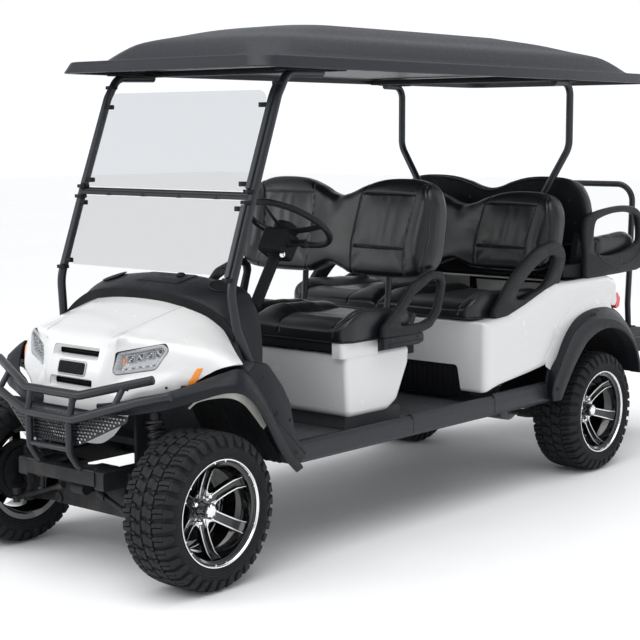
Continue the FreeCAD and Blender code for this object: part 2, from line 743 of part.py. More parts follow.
def rear_fender():
    grid = []
    for (y0, z0), (y1, z1) in zip(ARCH_OUT, ARCH_IN):
        o = (604.0, float(y0), float(z0))
        i = (668.0, float(y1), float(z1))
        grid.append([o, mid(o, i, 16, 4, 0.35), mid(o, i, 12, 2, 0.75), (667.0, float(y1), float(z1))])
    band = fitted_shell(smooth_grid(grid, 57, 9), 4.0, 0.5, True)
    liner_o = [(872, 400), (905, 470), (935, 540), (985, 600), (1060, 648), (1160, 676), (1300, 688),
               (1400, 676), (1480, 640), (1545, 580), (1590, 500), (1602, 446)]
    liner_i = [(y + (8 if y < 1300 else -8 if y > 1300 else 0), z - 8) for y, z in reversed(liner_o)]
    liner = prism(liner_o + liner_i, "x", 392, 598)
    web = prism([(y, z) for y, z in ARCH_OUT] + [(y, z) for y, z in reversed(ARCH_IN)], "x", 590, 598)
    return [band, fuse(liner, web)]


put("rear_fenders", both(rear_fender()))
put("tail_lights", both(prism([(1500, 760), (1534, 772), (1540, 812), (1512, 842), (1500, 836)], "x", 520, 592, 8)))


# ------------------------------------------------------------------ front body
# Painted nose: columns from the middle outwards, each from the chin over the
# crest to the rear edge of the hood.
NOSE = [
    [(0, -1425, 486), (0, -1446, 560), (0, -1449, 640), (0, -1440, 720), (0, -1424, 780), (0, -1404, 838),
     (0, -1382, 872), (0, -1316, 902), (0, -1240, 933), (0, -1164, 962), (0, -1088, 989)],
    [(130, -1415, 488), (150, -1438, 562), (150, -1444, 640), (140, -1436, 720), (136, -1421, 780), (133, -1402, 838),
     (130, -1384, 873), (132, -1316, 902), (134, -1240, 932), (138, -1164, 960), (142, -1088, 984)],
    [(185, -1398, 520), (205, -1425, 590), (200, -1436, 655), (182, -1420, 722), (186, -1405, 782), (205, -1400, 845),
     (222, -1402, 884), (225, -1326, 905), (228, -1247, 928), (232, -1167, 951), (236, -1087, 973)],
    [(232, -1386, 578), (243, -1406, 622), (243, -1424, 668), (222, -1395, 737), (230, -1388, 790), (245, -1378, 838),
     (256, -1366, 872), (262, -1304, 893), (268, -1231, 917), (274, -1156, 940), (280, -1076, 962)],
    [(287, -1370, 647), (290, -1382, 664), (300, -1393, 696), (291, -1367, 751), (299, -1351, 800), (312, -1336, 846),
     (322, -1318, 868), (328, -1272, 884), (332, -1208, 905), (337, -1140, 923), (342, -1066, 941)],
    [(353, -1343, 672), (360, -1354, 692), (368, -1357, 720), (366, -1334, 768), (382, -1316, 812), (392, -1300, 844),
     (400, -1282, 858), (407, -1246, 869), (411, -1196, 882), (412, -1130, 892), (412, -1058, 900)],
    [(416, -1310, 701), (420, -1314, 722), (426, -1312, 744), (432, -1299, 771), (444, -1282, 796), (457, -1266, 816),
     (470, -1247, 829), (483, -1223, 838), (493, -1192, 844), (501, -1148, 842), (508, -1090, 826)],
    [(466, -1266, 722), (478, -1260, 735), (492, -1252, 746), (505, -1243, 756), (516, -1232, 764), (528, -1220, 773),
     (540, -1207, 780), (553, -1193, 786), (567, -1177, 791), (580, -1160, 795), (592, -1140, 797)],
]
LAMP = [(202, 830), (365, 868), (388, 842), (351, 772), (188, 742)]     # x, z of the outline


def nose():
    grid = []
    for col in [[(-x, y, z) for x, y, z in c] for c in reversed(NOSE[1:])] + NOSE:
        grid.append([(float(x), float(y), float(z)) for x, y, z in col])
    return fitted_shell(smooth_grid(grid, 41, 25), WALL, 0.6)


def lamp_prism(y0, y1, grow=0.0):
    cx = sum(p[0] for p in LAMP) / len(LAMP)
    cz = sum(p[1] for p in LAMP) / len(LAMP)
    k = 1 + grow / 80.0
    return prism([(cx + (x - cx) * k, cz + (z - cz) * k) for x, z in LAMP], "y", y0, y1, [14, 22, 18, 24, 16])


body = nose()
for h in (lamp_prism(-1460, -1250),):
    body = body.cut(h).cut(mirror(h))
body = body.cut(prism([(-111, 802), (111, 802), (111, 822), (-111, 822)], "y", -1470, -1360, 6))
body = body.cut(prism([(-100, 694), (100, 694), (100, 714), (-100, 714)], "y", -1480, -1400, 6))
if len(body.Solids) > 1:
    body = max(body.Solids, key=lambda q: q.Volume)
put("front_cowl", body)


def headlight():
    """Lens and housing as one block that follows the slope of the nose."""
    block = lamp_prism(-1430, -1250, -1.6)
    # plane of the lens: further back towards the outside
    cutter = Part.makeBox(600, 300, 400, V(-300, -300, -200))
    cutter.rotate(V(0, 0, 0), V(0, 0, 1), 24.5)
    cutter.rotate(V(0, 0, 0), V(1, 0, 0), -13)
    cutter.translate(V(280, -1362, 806))
    block = block.cut(cutter)
    back = Part.makeBox(600, 300, 400, V(-300, 36, -200))
    back.rotate(V(0, 0, 0), V(0, 0, 1), 24.5)
    back.rotate(V(0, 0, 0), V(1, 0, 0), -13)
    back.translate(V(280, -1362, 806))
    return block.cut(back)


put("headlights", both(headlight()))


def dash():
    cap = [(-1081, 800), (-1081, 1008), (-1066, 1024), (-1000, 1050), (-908, 1070), (-882, 1054), (-876, 900),
           (-896, 860), (-1030, 860), (-1060, 800)]
    mid = prism(cap, "x", -430, 430, [6, 16, 30, 40, 20, 20, 20, 20, 20, 10])
    side = both(prism([(-1081, 800), (-1081, 900), (-1020, 950), (-930, 950), (-905, 900), (-915, 820), (-1060, 800)],
                      "x", 425, 540, 16))
    body = fuse(mid, side)
    plan = [(-270, -1081), (270, -1081), (300, -1056), (430, -1048), (540, -1036), (540, -860), (-540, -860),
            (-540, -1036), (-430, -1048), (-300, -1056)]
    body = body.common(prism(plan, "z", 780, 1100))
    hollow = prism([(-1040, 780), (-1040, 1000), (-1000, 1028), (-940, 1034), (-940, 780)], "x", -420, 420)
    body = body.cut(hollow)
    for s in (-1, 1):
        body = body.cut(cyl((s * 340, -906, 1085), (s * 340, -906, 1006), 26))
    return body


put("dash_panel", dash())


# Front flare: at each station the upper edge, the ridge and the lip.
FLARE = [
    ((150, -1430, 650), (150, -1446, 634), (156, -1444, 612)),
    ((264, -1414, 657), (290, -1432, 643), (290, -1430, 616)),
    ((338, -1376, 673), (372, -1402, 659), (372, -1404, 630)),
    ((414, -1347, 697), (440, -1380, 677), (442, -1382, 646)),
    ((476, -1298, 722), (498, -1342, 695), (502, -1342, 665)),
    ((524, -1253, 746), (552, -1300, 714), (558, -1298, 688)),
    ((568, -1209, 767), (602, -1252, 729), (608, -1252, 706)),
    ((597, -1170, 779), (634, -1202, 728), (640, -1206, 703)),
    ((600, -1125, 762), (641, -1148, 704), (648, -1156, 674)),
    ((602, -1080, 718), (641, -1096, 660), (648, -1108, 624)),
    ((604, -1036, 655), (641, -1048, 596), (648, -1064, 562)),
    ((606, -990, 580), (641, -1000, 520), (647, -1020, 494)),
    ((606, -942, 505), (640, -950, 454), (645, -972, 430)),
    ((604, -900, 442), (638, -904, 404), (640, -930, 392)),
    ((602, -866, 400), (634, -864, 376), (634, -896, 366)),
]


def front_fender():
    grid = []
    for u, m, l in FLARE:
        grid.append([u, mid(u, m, 2, 5), m, l])
    band = fitted_shell(smooth_grid([[tuple(map(float, q)) for q in row] for row in grid], 57, 9), 4.0, 0.5)
    panel = prism([(-1128, 690), (-1132, 770), (-1090, 800), (-1020, 785), (-944, 698), (-900, 628), (-879, 530),
                   (-845, 457), (-806, 420), (-846, 380), (-905, 392), (-955, 440), (-1000, 505), (-1050, 582),
                   (-1092, 650)], "x", 500, 612, [10, 20, 20, 40, 30, 40, 60, 30, 10, 20, 20, 30, 40, 40, 30])
    edges = [e for e in panel.Edges if abs(e.CenterOfMass.x - 612) < 0.5]
    try:
        panel = panel.makeFillet(14, edges)
    except Exception:
        pass
    a = [(-1440, 690), (-1385, 702), (-1283, 712), (-1204, 705), (-1134, 668), (-1083, 604), (-1030, 514),
         (-975, 440), (-950, 404)]
    b = [(-1440, 698), (-1385, 710), (-1283, 720), (-1200, 713), (-1128, 675), (-1076, 609), (-1023, 519),
         (-968, 444), (-943, 404)]
    liner = prism(a + b[::-1], "x", 262, 604)
    plan = [(250, -1395), (325, -1348), (400, -1322), (460, -1272), (508, -1228), (550, -1186), (582, -1150),
            (588, -1120), (604, -1076), (604, -860), (250, -860)]
    liner = liner.common(prism(plan, "z", 380, 760))
    return [band, fuse(panel, liner).cut(band)]


put("front_fenders", both(front_fender()))

# brush guard
UP = [(430, -1430, 755), (150, -1528, 683), (-150, -1528, 683), (-430, -1430, 755)]
LO = [(560, -1470, 716), (440, -1500, 690), (136, -1547, 596), (-136, -1547, 596), (-440, -1500, 690), (-560, -1470, 716)]


def guard():
    up = tube(UP, TUBE_R, [0, 40, 40, 0])
    lo = tube(LO, TUBE_R, [0, 40, 40, 40, 40, 0])
    out = [up, lo]
    for s in (-1, 1):
        out.append(cyl((s * 118, -1528, 683), (s * 118, -1547, 596), 11))
        out.append(tube([(s * 112, -1547, 594), (s * 112, -1545, 470), (s * 112, -1500, 408),
                         (s * 150, -1400, 396)], 12.5, [0, 50, 50, 0]))
        out.append(cyl((s * 330, -1462, 727), (s * 330, -1520, 657), 10))
        out.append(box(min(s * 100, s * 190), max(s * 100, s * 190), -1500, -1380, 386, 406))
    out.append(cyl((-112, -1545, 482), (112, -1545, 482), 9.5))
    return fuse(out)


put("front_bumper", guard())
put("bumper_mesh", prism([(-372, -1461), (-130, -1530), (130, -1530), (372, -1461), (371, -1457), (130, -1526),
                          (-130, -1526), (-371, -1457)], "z", 490, 630).common(
    prism([(-340, 618), (-340, 602), (-140, 498), (140, 498), (340, 602), (340, 618)], "y", -1540, -1440,
          [8, 20, 20, 20, 20, 8])))


# ---------------------------------------------------------- struts and screens
def front_strut():
    x = 475.0
    path = [(540, -1006, 702), (x + 12, -1059, 901), (x, -1078, 1042), (x - 1, -949, 1400), (x - 3, -813, 1759),
            (x - 5, -760, 1842), (x - 5, -560, 1846)]
    return tube(path, STRUT_R, [0, 120, 160, 200, 60, 60, 0])


struts = both(front_strut())
rails_w = [cyl((-474, -951, 1389), (474, -951, 1389), 11), box(-474, 474, -972, -950, 1372, 1386)]
put("front_struts", fuse(struts, rails_w))


def rear_strut():
    path = [(330, 1200, 929), (330, 1200, 1275), (496, 1200, 1546), (496, 1200, 1846), (496, 1060, 1849)]
    return tube(path, STRUT_R, [0, 120, 120, 60, 0])


put("rear_struts", both(rear_strut()))


def pane(pts, x_half, t, rad):
    (y0, z0), (y1, z1) = pts
    w = [(-x_half, y0, z0), (x_half, y0, z0), (x_half, y1, z1), (-x_half, y1, z1)]
    f = Part.Face(rounded(w, rad))
    n = V(0, z1 - z0, -(y1 - y0))
    n.normalize()
    return f.extrude(n * -t)


put("windshield", pane(((-966, 1404), (-826, 1776)), 440, 5, [6, 6, 50, 50]),
    pane(((-1062, 1096), (-972, 1368)), 440, 5, [30, 30, 6, 6]))


# ----------------------------------------------------------------------- roof
# plan of the roof at each level: (inset, height over the rim, extra front, extra rear)
DOME = [(0, 2, 0, 0), (16, 42, 0, 0), (24, 50, 0, 0), (81, 54, 56, 41), (120, 92, 58, 44), (162, 123, 62, 52),
        (245, 150, 80, 80), (320, 178, 150, 170), (400, 202, 300, 380)]


def roof_loop(i, t):
    inset, h, ef, er = DOME[i]
    g = inset + t
    z = ROOF_Z0 + h - t
    if i == 0:
        z = ROOF_Z0 - (20 if t else 0)
    w = ROOF_HALF - g
    rf, rr = min(80 + 0.5 * g, 200, 0.85 * w), min(80 + 0.4 * g, 170, 0.85 * w)
    return smooth_loop(plan_loop(ROOF_HALF - g, ROOF_Y0 + g + ef, ROOF_Y1 - g - er, rf, rr, z, 5, 7))


def roof_loft(t):
    """Canopy outside; t shrinks it evenly."""
    return Part.makeLoft([roof_loop(i, t) for i in range(len(DOME))], True, True)


def canopy():
    out = roof_loft(0.0).cut(roof_loft(8.0))
    ribs = [box(-ROOF_HALF + 4, ROOF_HALF - 4, y - 30, y + 30, ROOF_Z0 + 5, ROOF_Z0 + 33) for y in (-515, 1020)]
    return fuse(out, ribs)


put("roof_canopy", canopy())


# --------------------------------------------------------------- driver's side
def tilt(s):
    s.rotate(V(*WHEEL_C), V(1, 0, 0), -WHEEL_TILT)
    return s


def steering_wheel():
    cx, cy, cz = WHEEL_C
    ring = Part.makeTorus(WHEEL_RAD, 13, V(cx, cy, cz), V(0, 0, 1))
    hub = Part.makeCylinder(46, 30, V(cx, cy, cz - 34), V(0, 0, 1))
    parts = [ring, hub]
    for a in (20, 160, 270):
        r = math.radians(a)
        parts.append(cyl((cx + 36 * math.cos(r), cy + 36 * math.sin(r), cz - 18),
                         (cx + (WHEEL_RAD - 4) * math.cos(r), cy + (WHEEL_RAD - 4) * math.sin(r), cz - 3), 11))
    return tilt(fuse(parts))


put("steering_wheel", steering_wheel())


def column():
    cx, cy, cz = WHEEL_C
    top = V(cx, cy, cz - 40)
    a = Part.makeCylinder(24, 330, V(cx, cy, cz - 370), V(0, 0, 1))
    h = box(cx - 60, cx + 60, cy - 62, cy + 48, cz - 150, cz - 42)
    h = h.makeFillet(18, h.Edges)
    stalk = cyl((cx + 40, cy, cz - 80), (cx + 130, cy, cz - 72), 7)
    return tilt(fuse(a, h, stalk))


put("steering_column", column())


def pedals():
    out = []
    for x, w in ((200, 46), (330, 34)):
        pad = prism([(-905, 560), (-860, 640), (-866, 644), (-911, 564)], "x", x - w, x + w)
        arm = tube([(x, -886, 600), (x, -960, 610), (x, -1072, 720)], 8, 30)
        out.append(fuse(pad, arm))
    return out


put("pedals", pedals())

# ------------------------------------------------------------------ trimming
# Where two neighbours meet, the first is cut back to the second.
TRIM = [
    ("bumper_mesh", "front_bumper"), ("front_bumper", "frame_rails"), ("front_bumper", "front_fenders"),
    ("front_cowl", "frame_rails"), ("front_cowl", "front_fenders"), ("front_cowl", "front_struts"),
    ("dash_panel", "front_struts"), ("dash_panel", "front_fenders"), ("dash_panel", "front_cowl"),
    ("front_fenders", "front_struts"), ("front_fenders", "frame_rails"),
    ("floor_pan", "front_fenders"), ("floor_pan", "front_struts"), ("floor_pan", "frame_rails"),
    ("floor_pan", "rockers"), ("pedals", "floor_pan"), ("rockers", "front_fenders"), ("rockers", "rear_fenders"),
    ("rockers", "frame_rails"), ("front_suspension", "frame_rails"), ("leaf_springs", "frame_rails"),
    ("leaf_springs", "rear_axle"), ("front_shocks", "front_suspension"), ("front_shocks", "frame_rails"),
    ("front_armrests", "front_seat_backrest"), ("middle_armrests", "middle_seat_backrest"),
    ("rear_armrests", "rear_seat_backrest"), ("front_seat_supports", "front_seat_backrest"),
    ("front_seat_supports", "front_seat_base"), ("rear_seat_frame", "rear_body"),
    ("rear_seat_frame", "frame_rails"), ("rear_armrests", "rear_seat_frame"), ("rear_struts", "rear_body"),
    ("footrest", "frame_rails"), ("footrest", "rear_seat_frame"), ("rear_fenders", "rear_body"),
    ("rear_fenders", "frame_rails"), ("tail_lights", "rear_body"), ("headlights", "front_cowl"),
    ("rear_seat_frame", "rear_seat_backrest"), ("rear_seat_frame", "rear_struts"), ("grab_bar", "footrest"),
    ("tyre_front_left", "rim_front_left"), ("tyre_front_right", "rim_front_right"),
    ("tyre_rear_left", "rim_rear_left"), ("tyre_rear_right", "rim_rear_right"),
]


def near(p, q):
    a, b = p.BoundBox, q.BoundBox
    return (a.XMin < b.XMax and b.XMin < a.XMax and a.YMin < b.YMax and b.YMin < a.YMax
            and a.ZMin < b.ZMax and b.ZMin < a.ZMax)


for a, b in TRIM:
    kept = []
    for p in NODES[a]:
        tools = [q for q in NODES[b] if near(p, q)]
        if not tools:
            kept.append(p)
            continue
        c = p.cut(tools)
        pieces = [k for k in c.Solids if k.Volume > 400]
        if not pieces or abs(c.Volume) < 0.2 * abs(p.Volume):
            print("trim left nothing:", a, b)
            kept.append(p)
        else:
            kept += pieces
    NODES[a] = kept

# ----------------------------------------------------------------------- write
for name, solids in NODES.items():
    shape = solids[0] if len(solids) == 1 else Part.makeCompound(solids)
    shape = shape.copy()
    shape.translate(V(0, -Y_MID, 0))
    if not shape.isValid():
        print("not valid:", name)
    shape.exportStep("parts/%s.step" % name)
bb = FreeCAD.BoundBox()
for solids in NODES.values():
    for s in solids:
        bb.add(s.BoundBox)
print(len(NODES), "nodes", bb)
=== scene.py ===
import json
import math
import random

import bmesh
import bpy
import numpy as np
from mathutils import Matrix, Vector
from mathutils.bvhtree import BVHTree

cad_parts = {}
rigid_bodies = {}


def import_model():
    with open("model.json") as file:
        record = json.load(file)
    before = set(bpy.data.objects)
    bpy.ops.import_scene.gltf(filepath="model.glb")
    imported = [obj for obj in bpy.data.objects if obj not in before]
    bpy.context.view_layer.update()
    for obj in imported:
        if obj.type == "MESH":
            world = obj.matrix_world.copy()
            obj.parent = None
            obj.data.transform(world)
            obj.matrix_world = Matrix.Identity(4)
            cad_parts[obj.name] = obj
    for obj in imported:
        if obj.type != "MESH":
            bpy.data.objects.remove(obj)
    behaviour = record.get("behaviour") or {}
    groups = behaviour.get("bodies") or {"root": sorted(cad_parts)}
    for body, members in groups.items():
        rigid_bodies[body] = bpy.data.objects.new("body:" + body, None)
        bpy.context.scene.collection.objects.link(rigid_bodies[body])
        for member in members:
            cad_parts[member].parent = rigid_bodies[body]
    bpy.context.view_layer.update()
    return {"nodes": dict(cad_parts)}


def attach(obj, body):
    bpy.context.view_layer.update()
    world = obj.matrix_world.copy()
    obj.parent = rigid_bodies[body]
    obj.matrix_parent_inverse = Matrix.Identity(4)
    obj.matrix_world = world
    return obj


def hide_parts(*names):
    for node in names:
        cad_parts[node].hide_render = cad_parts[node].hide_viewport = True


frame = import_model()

NODES = frame["nodes"]
scene = bpy.context.scene
rnd = random.Random(11)

# Lengths below are millimetres from the middle of the wheelbase on the ground,
# front towards -Y, vehicle's left towards +X. They turn into metres of the frame here.
Y_MID = 350.0


def to_m(p):
    a = np.asarray(p, float)
    return (a - np.array([0.0, Y_MID, 0.0])) / 1000.0


# ------------------------------------------------------------------ camera
cam = bpy.data.cameras.new("camera")
cam.sensor_width = 36.0
cam.lens = 86.75
cam.clip_end = 200.0
cam_ob = bpy.data.objects.new("camera", cam)
scene.collection.objects.link(cam_ob)
yaw, pitch, roll = math.radians(40.654), math.radians(6.971), math.radians(-0.109)
d = Vector((-math.sin(yaw) * math.cos(pitch), math.cos(yaw) * math.cos(pitch), -math.sin(pitch)))
right = Vector((math.cos(yaw), math.sin(yaw), 0.0))
up = right.cross(d)
r_, u_ = right * math.cos(roll) + up * math.sin(roll), up * math.cos(roll) - right * math.sin(roll)
m = Matrix((r_, u_, -d)).transposed().to_4x4()
m.translation = Vector((4.3656, -5.4585, 1.6225))
cam_ob.matrix_world = m
scene.camera = cam_ob


# --------------------------------------------------------------- materials
def node(nt, kind, x=0, y=0, **sets):
    n = nt.nodes.new(kind)
    n.location = (x, y)
    for k, v in sets.items():
        if hasattr(n, k):
            setattr(n, k, v)
    return n


def put_in(n, **vals):
    for k, v in vals.items():
        n.inputs[k.replace("_", " ")].default_value = v


def material(name, col, rough, metal=0.0, coat=0.0, coat_rough=0.06, spec=0.5, var=0.10, var_scale=9.0,
             grain=("noise", 700.0, 0.25, 0.0004), rvar=0.08, wear=0.0, wear_col=None, sheen=0.0, dust=0.0,
             second=None, aniso=0.0):
    """Principled surface whose colour, roughness and bump come from noise in metres of the object itself."""
    mt = bpy.data.materials.new(name)
    mt.use_nodes = True
    nt = mt.node_tree
    L = nt.links.new
    b = nt.nodes["Principled BSDF"]
    put_in(b, Metallic=metal, Coat_Weight=coat, Coat_Roughness=coat_rough, Specular_IOR_Level=spec,
           Sheen_Weight=sheen, Sheen_Roughness=0.4, Anisotropic=aniso)
    tc = node(nt, "ShaderNodeTexCoord", -1400, 0)
    n1 = node(nt, "ShaderNodeTexNoise", -1200, 200)
    put_in(n1, Scale=var_scale, Detail=5.0, Roughness=0.6)
    L(tc.outputs["Object"], n1.inputs["Vector"])
    ramp = node(nt, "ShaderNodeMapRange", -1000, 200)
    put_in(ramp, From_Min=0.3, From_Max=0.7, To_Min=0.0, To_Max=1.0)
    L(n1.outputs["Fac"], ramp.inputs["Value"])
    mix = node(nt, "ShaderNodeMix", -800, 200, data_type="RGBA")
    lo = tuple(max(0.0, c * (1 - var)) for c in col)
    hi = tuple(min(1.0, c * (1 + var)) for c in col)
    mix.inputs[6].default_value = (*lo, 1)
    mix.inputs[7].default_value = (*(second or hi), 1)
    L(ramp.outputs["Result"], mix.inputs[0])
    out = mix.outputs[2]
    if wear > 0:
        geo = node(nt, "ShaderNodeNewGeometry", -1200, -100)
        wr = node(nt, "ShaderNodeMapRange", -1000, -100)
        put_in(wr, From_Min=0.515, From_Max=0.62, To_Min=0.0, To_Max=wear)
        L(geo.outputs["Pointiness"], wr.inputs["Value"])
        m2 = node(nt, "ShaderNodeMix", -600, 200, data_type="RGBA")
        L(wr.outputs["Result"], m2.inputs[0])
        L(out, m2.inputs[6])
        m2.inputs[7].default_value = (*(wear_col or tuple(min(1, c * 2.2 + 0.015) for c in col)), 1)
        out = m2.outputs[2]
    if dust > 0:
        n3 = node(nt, "ShaderNodeTexNoise", -1200, -350)
        put_in(n3, Scale=4.0, Detail=8.0, Roughness=0.7)
        L(tc.outputs["Object"], n3.inputs["Vector"])
        dr = node(nt, "ShaderNodeMapRange", -1000, -350)
        put_in(dr, From_Min=0.5, From_Max=0.75, To_Min=0.0, To_Max=dust)
        L(n3.outputs["Fac"], dr.inputs["Value"])
        m3 = node(nt, "ShaderNodeMix", -400, 200, data_type="RGBA")
        L(dr.outputs["Result"], m3.inputs[0])
        L(out, m3.inputs[6])
        m3.inputs[7].default_value = (0.18, 0.17, 0.155, 1)
        out = m3.outputs[2]
    L(out, b.inputs["Base Color"])
    n2 = node(nt, "ShaderNodeTexNoise", -1200, -600)
    put_in(n2, Scale=var_scale * 7, Detail=3.0)
    L(tc.outputs["Object"], n2.inputs["Vector"])
    rr = node(nt, "ShaderNodeMapRange", -1000, -600)
    put_in(rr, From_Min=0.3, From_Max=0.7, To_Min=max(0.02, rough - rvar), To_Max=min(1.0, rough + rvar))
    L(n2.outputs["Fac"], rr.inputs["Value"])
    L(rr.outputs["Result"], b.inputs["Roughness"])
    if grain:
        kind, sc, strength, dist = grain[:4]
        if kind == "noise":
            g = node(nt, "ShaderNodeTexNoise", -900, -850)
            put_in(g, Scale=sc, Detail=3.0, Roughness=0.65)
            src = g.outputs["Fac"]
        elif kind == "leather":
            g = node(nt, "ShaderNodeTexVoronoi", -900, -850, feature="DISTANCE_TO_EDGE")
            put_in(g, Scale=sc, Randomness=1.0)
            gm = node(nt, "ShaderNodeMapRange", -700, -850)
            put_in(gm, From_Min=0.0, From_Max=0.25, To_Min=0.0, To_Max=1.0)
            L(g.outputs["Distance"], gm.inputs["Value"])
            src = gm.outputs["Result"]
        elif kind == "rings":
            g = node(nt, "ShaderNodeTexNoise", -900, -850)
            put_in(g, Scale=sc, Detail=1.0)
            mp = node(nt, "ShaderNodeMapping", -1050, -850)
            mp.inputs["Scale"].default_value = grain[4]
            L(tc.outputs["Object"], mp.inputs["Vector"])
            L(mp.outputs["Vector"], g.inputs["Vector"])
            src = g.outputs["Fac"]
        if kind != "rings":
            L(tc.outputs["Object"], g.inputs["Vector"])
        bp = node(nt, "ShaderNodeBump", -300, -700)
        put_in(bp, Strength=strength, Distance=dist)
        L(src, bp.inputs["Height"])
        L(bp.outputs["Normal"], b.inputs["Normal"])
    return mt


WHITE = material("white_paint", (0.70, 0.70, 0.695), 0.26, coat=0.5, coat_rough=0.10, var=0.006, var_scale=2.0,
                 grain=("noise", 500.0, 0.012, 0.0002), rvar=0.015)
ROOF = material("roof_shell", (0.0185, 0.0205, 0.0255), 0.42, spec=0.34, var=0.06, grain=("noise", 900.0, 0.25, 0.0003), wear=0.08,
                rvar=0.05)
PLASTIC = material("black_plastic", (0.0085, 0.0095, 0.0125), 0.46, spec=0.24, var=0.12, grain=("noise", 800.0, 0.25, 0.0003),
                   wear=0.10, rvar=0.06)
PLASTIC_D = material("dark_plastic", (0.006, 0.0065, 0.0078), 0.60, spec=0.16, var=0.2, grain=("noise", 900.0, 0.4, 0.0004), wear=0.2)
PIPE = material("powder_coat", (0.0115, 0.0125, 0.0160), 0.34, spec=0.42, var=0.15, grain=("noise", 1100.0, 0.3, 0.0003), wear=0.35,
                rvar=0.05)
STEEL = material("under_steel", (0.009, 0.0095, 0.011), 0.5, metal=0.0, spec=0.22, var=0.3, grain=("noise", 400.0, 0.4, 0.0005),
                 wear=0.5, dust=0.25)
SPRING = material("spring_steel", (0.03, 0.03, 0.032), 0.42, metal=0.6, var=0.25, grain=("noise", 500.0, 0.4, 0.0004),
                  wear=0.5, dust=0.2)
CAST = material("cast_housing", (0.16, 0.16, 0.165), 0.55, metal=0.7, var=0.2, grain=("noise", 300.0, 0.6, 0.0008),
                wear=0.4, dust=0.3)
VINYL = material("black_vinyl", (0.0042, 0.0048, 0.0068), 0.33, spec=0.50, var=0.05, var_scale=5.0,
                 grain=("leather", 620.0, 0.035, 0.0003), rvar=0.01, wear=0.0, sheen=0.04)
PIPING = material("seat_piping", (0.010, 0.011, 0.0135), 0.33, spec=0.45, var=0.1, grain=("leather", 900.0, 0.15, 0.0003))
RUBBER = material("tyre_rubber", (0.0075, 0.008, 0.0095), 0.66, spec=0.22, var=0.2, grain=("noise", 500.0, 0.5, 0.0006),
                  wear=0.35, wear_col=(0.035, 0.036, 0.038), dust=0.05, rvar=0.08)
GRIP = material("grip_rubber", (0.0075, 0.0083, 0.0105), 0.52, spec=0.26, var=0.15, grain=("leather", 700.0, 0.35, 0.0005), wear=0.2)
MAT = material("floor_mat", (0.040, 0.043, 0.048), 0.62, var=0.2, grain=("noise", 350.0, 0.5, 0.0007), dust=0.25,
               wear=0.25)
GLOSS = material("gloss_black", (0.0035, 0.0035, 0.004), 0.11, coat=0.9, coat_rough=0.03, var=0.1,
                 grain=("noise", 500.0, 0.02, 0.0003), rvar=0.03)
MACHINED = material("machined_face", (0.86, 0.865, 0.87), 0.20, metal=1.0, var=0.04,
                    grain=("noise", 1400.0, 0.12, 0.0002), rvar=0.06)
CHROME = material("polished", (0.90, 0.90, 0.905), 0.08, metal=1.0, var=0.02, grain=("noise", 600.0, 0.02, 0.0002),
                  rvar=0.02)
LAMP_GREY = material("lamp_bezel", (0.36, 0.37, 0.385), 0.30, metal=0.2, var=0.06, grain=("noise", 600.0, 0.1, 0.0003))
LAMP_TRAY = material("lamp_tray", (0.62, 0.63, 0.65), 0.22, metal=0.75, var=0.05, grain=("noise", 300.0, 0.2, 0.0005))
LAMP_DARK = material("lamp_cells", (0.008, 0.009, 0.011), 0.2, coat=0.5, var=0.2, grain=("noise", 600.0, 0.1, 0.0003))
AMBER = material("amber_lens", (0.93, 0.29, 0.015), 0.18, coat=0.6, var=0.08, var_scale=60.0,
                 grain=("leather", 260.0, 0.35, 0.0006))
RED = material("red_lens", (0.72, 0.045, 0.06), 0.14, coat=0.7, var=0.1, var_scale=60.0,
               grain=("leather", 260.0, 0.3, 0.0006))
BATT = material("battery_case", (0.05, 0.05, 0.055), 0.5, var=0.1)
CREAM = material("inner_lip", (0.46, 0.455, 0.42), 0.45, var=0.08, grain=("noise", 500.0, 0.2, 0.0004))
BADGE = material("badge_face", (0.0035, 0.0035, 0.004), 0.55, spec=0.12, var=0.1, grain=("noise", 600.0, 0.03, 0.0003))


def glass(name, col, alpha, rough, ior=1.45, spec=0.5, coat=0.3):
    mt = bpy.data.materials.new(name)
    mt.use_nodes = True
    nt = mt.node_tree
    b = nt.nodes["Principled BSDF"]
    put_in(b, Metallic=0.0, Alpha=alpha, IOR=ior, Coat_Weight=coat, Coat_Roughness=0.02, Specular_IOR_Level=spec)
    tc = node(nt, "ShaderNodeTexCoord", -900, 0)
    n1 = node(nt, "ShaderNodeTexNoise", -700, 0)
    put_in(n1, Scale=14.0, Detail=4.0)
    nt.links.new(tc.outputs["Object"], n1.inputs["Vector"])
    mix = node(nt, "ShaderNodeMix", -400, 0, data_type="RGBA")
    mix.inputs[6].default_value = (*[c * 0.97 for c in col], 1)
    mix.inputs[7].default_value = (*[min(1, c * 1.03) for c in col], 1)
    nt.links.new(n1.outputs["Fac"], mix.inputs[0])
    nt.links.new(mix.outputs[2], b.inputs["Base Color"])
    rr = node(nt, "ShaderNodeMapRange", -400, -300)
    put_in(rr, From_Min=0.3, From_Max=0.7, To_Min=rough, To_Max=rough + 0.03)
    nt.links.new(n1.outputs["Fac"], rr.inputs["Value"])
    nt.links.new(rr.outputs["Result"], b.inputs["Roughness"])
    return mt


SCREEN = glass("screen_tint", (0.05, 0.052, 0.052), 0.155, 0.10, spec=0.0, coat=0.0)
LENS = glass("clear_lens", (0.80, 0.82, 0.84), 0.05, 0.03, spec=0.2, coat=0.1)


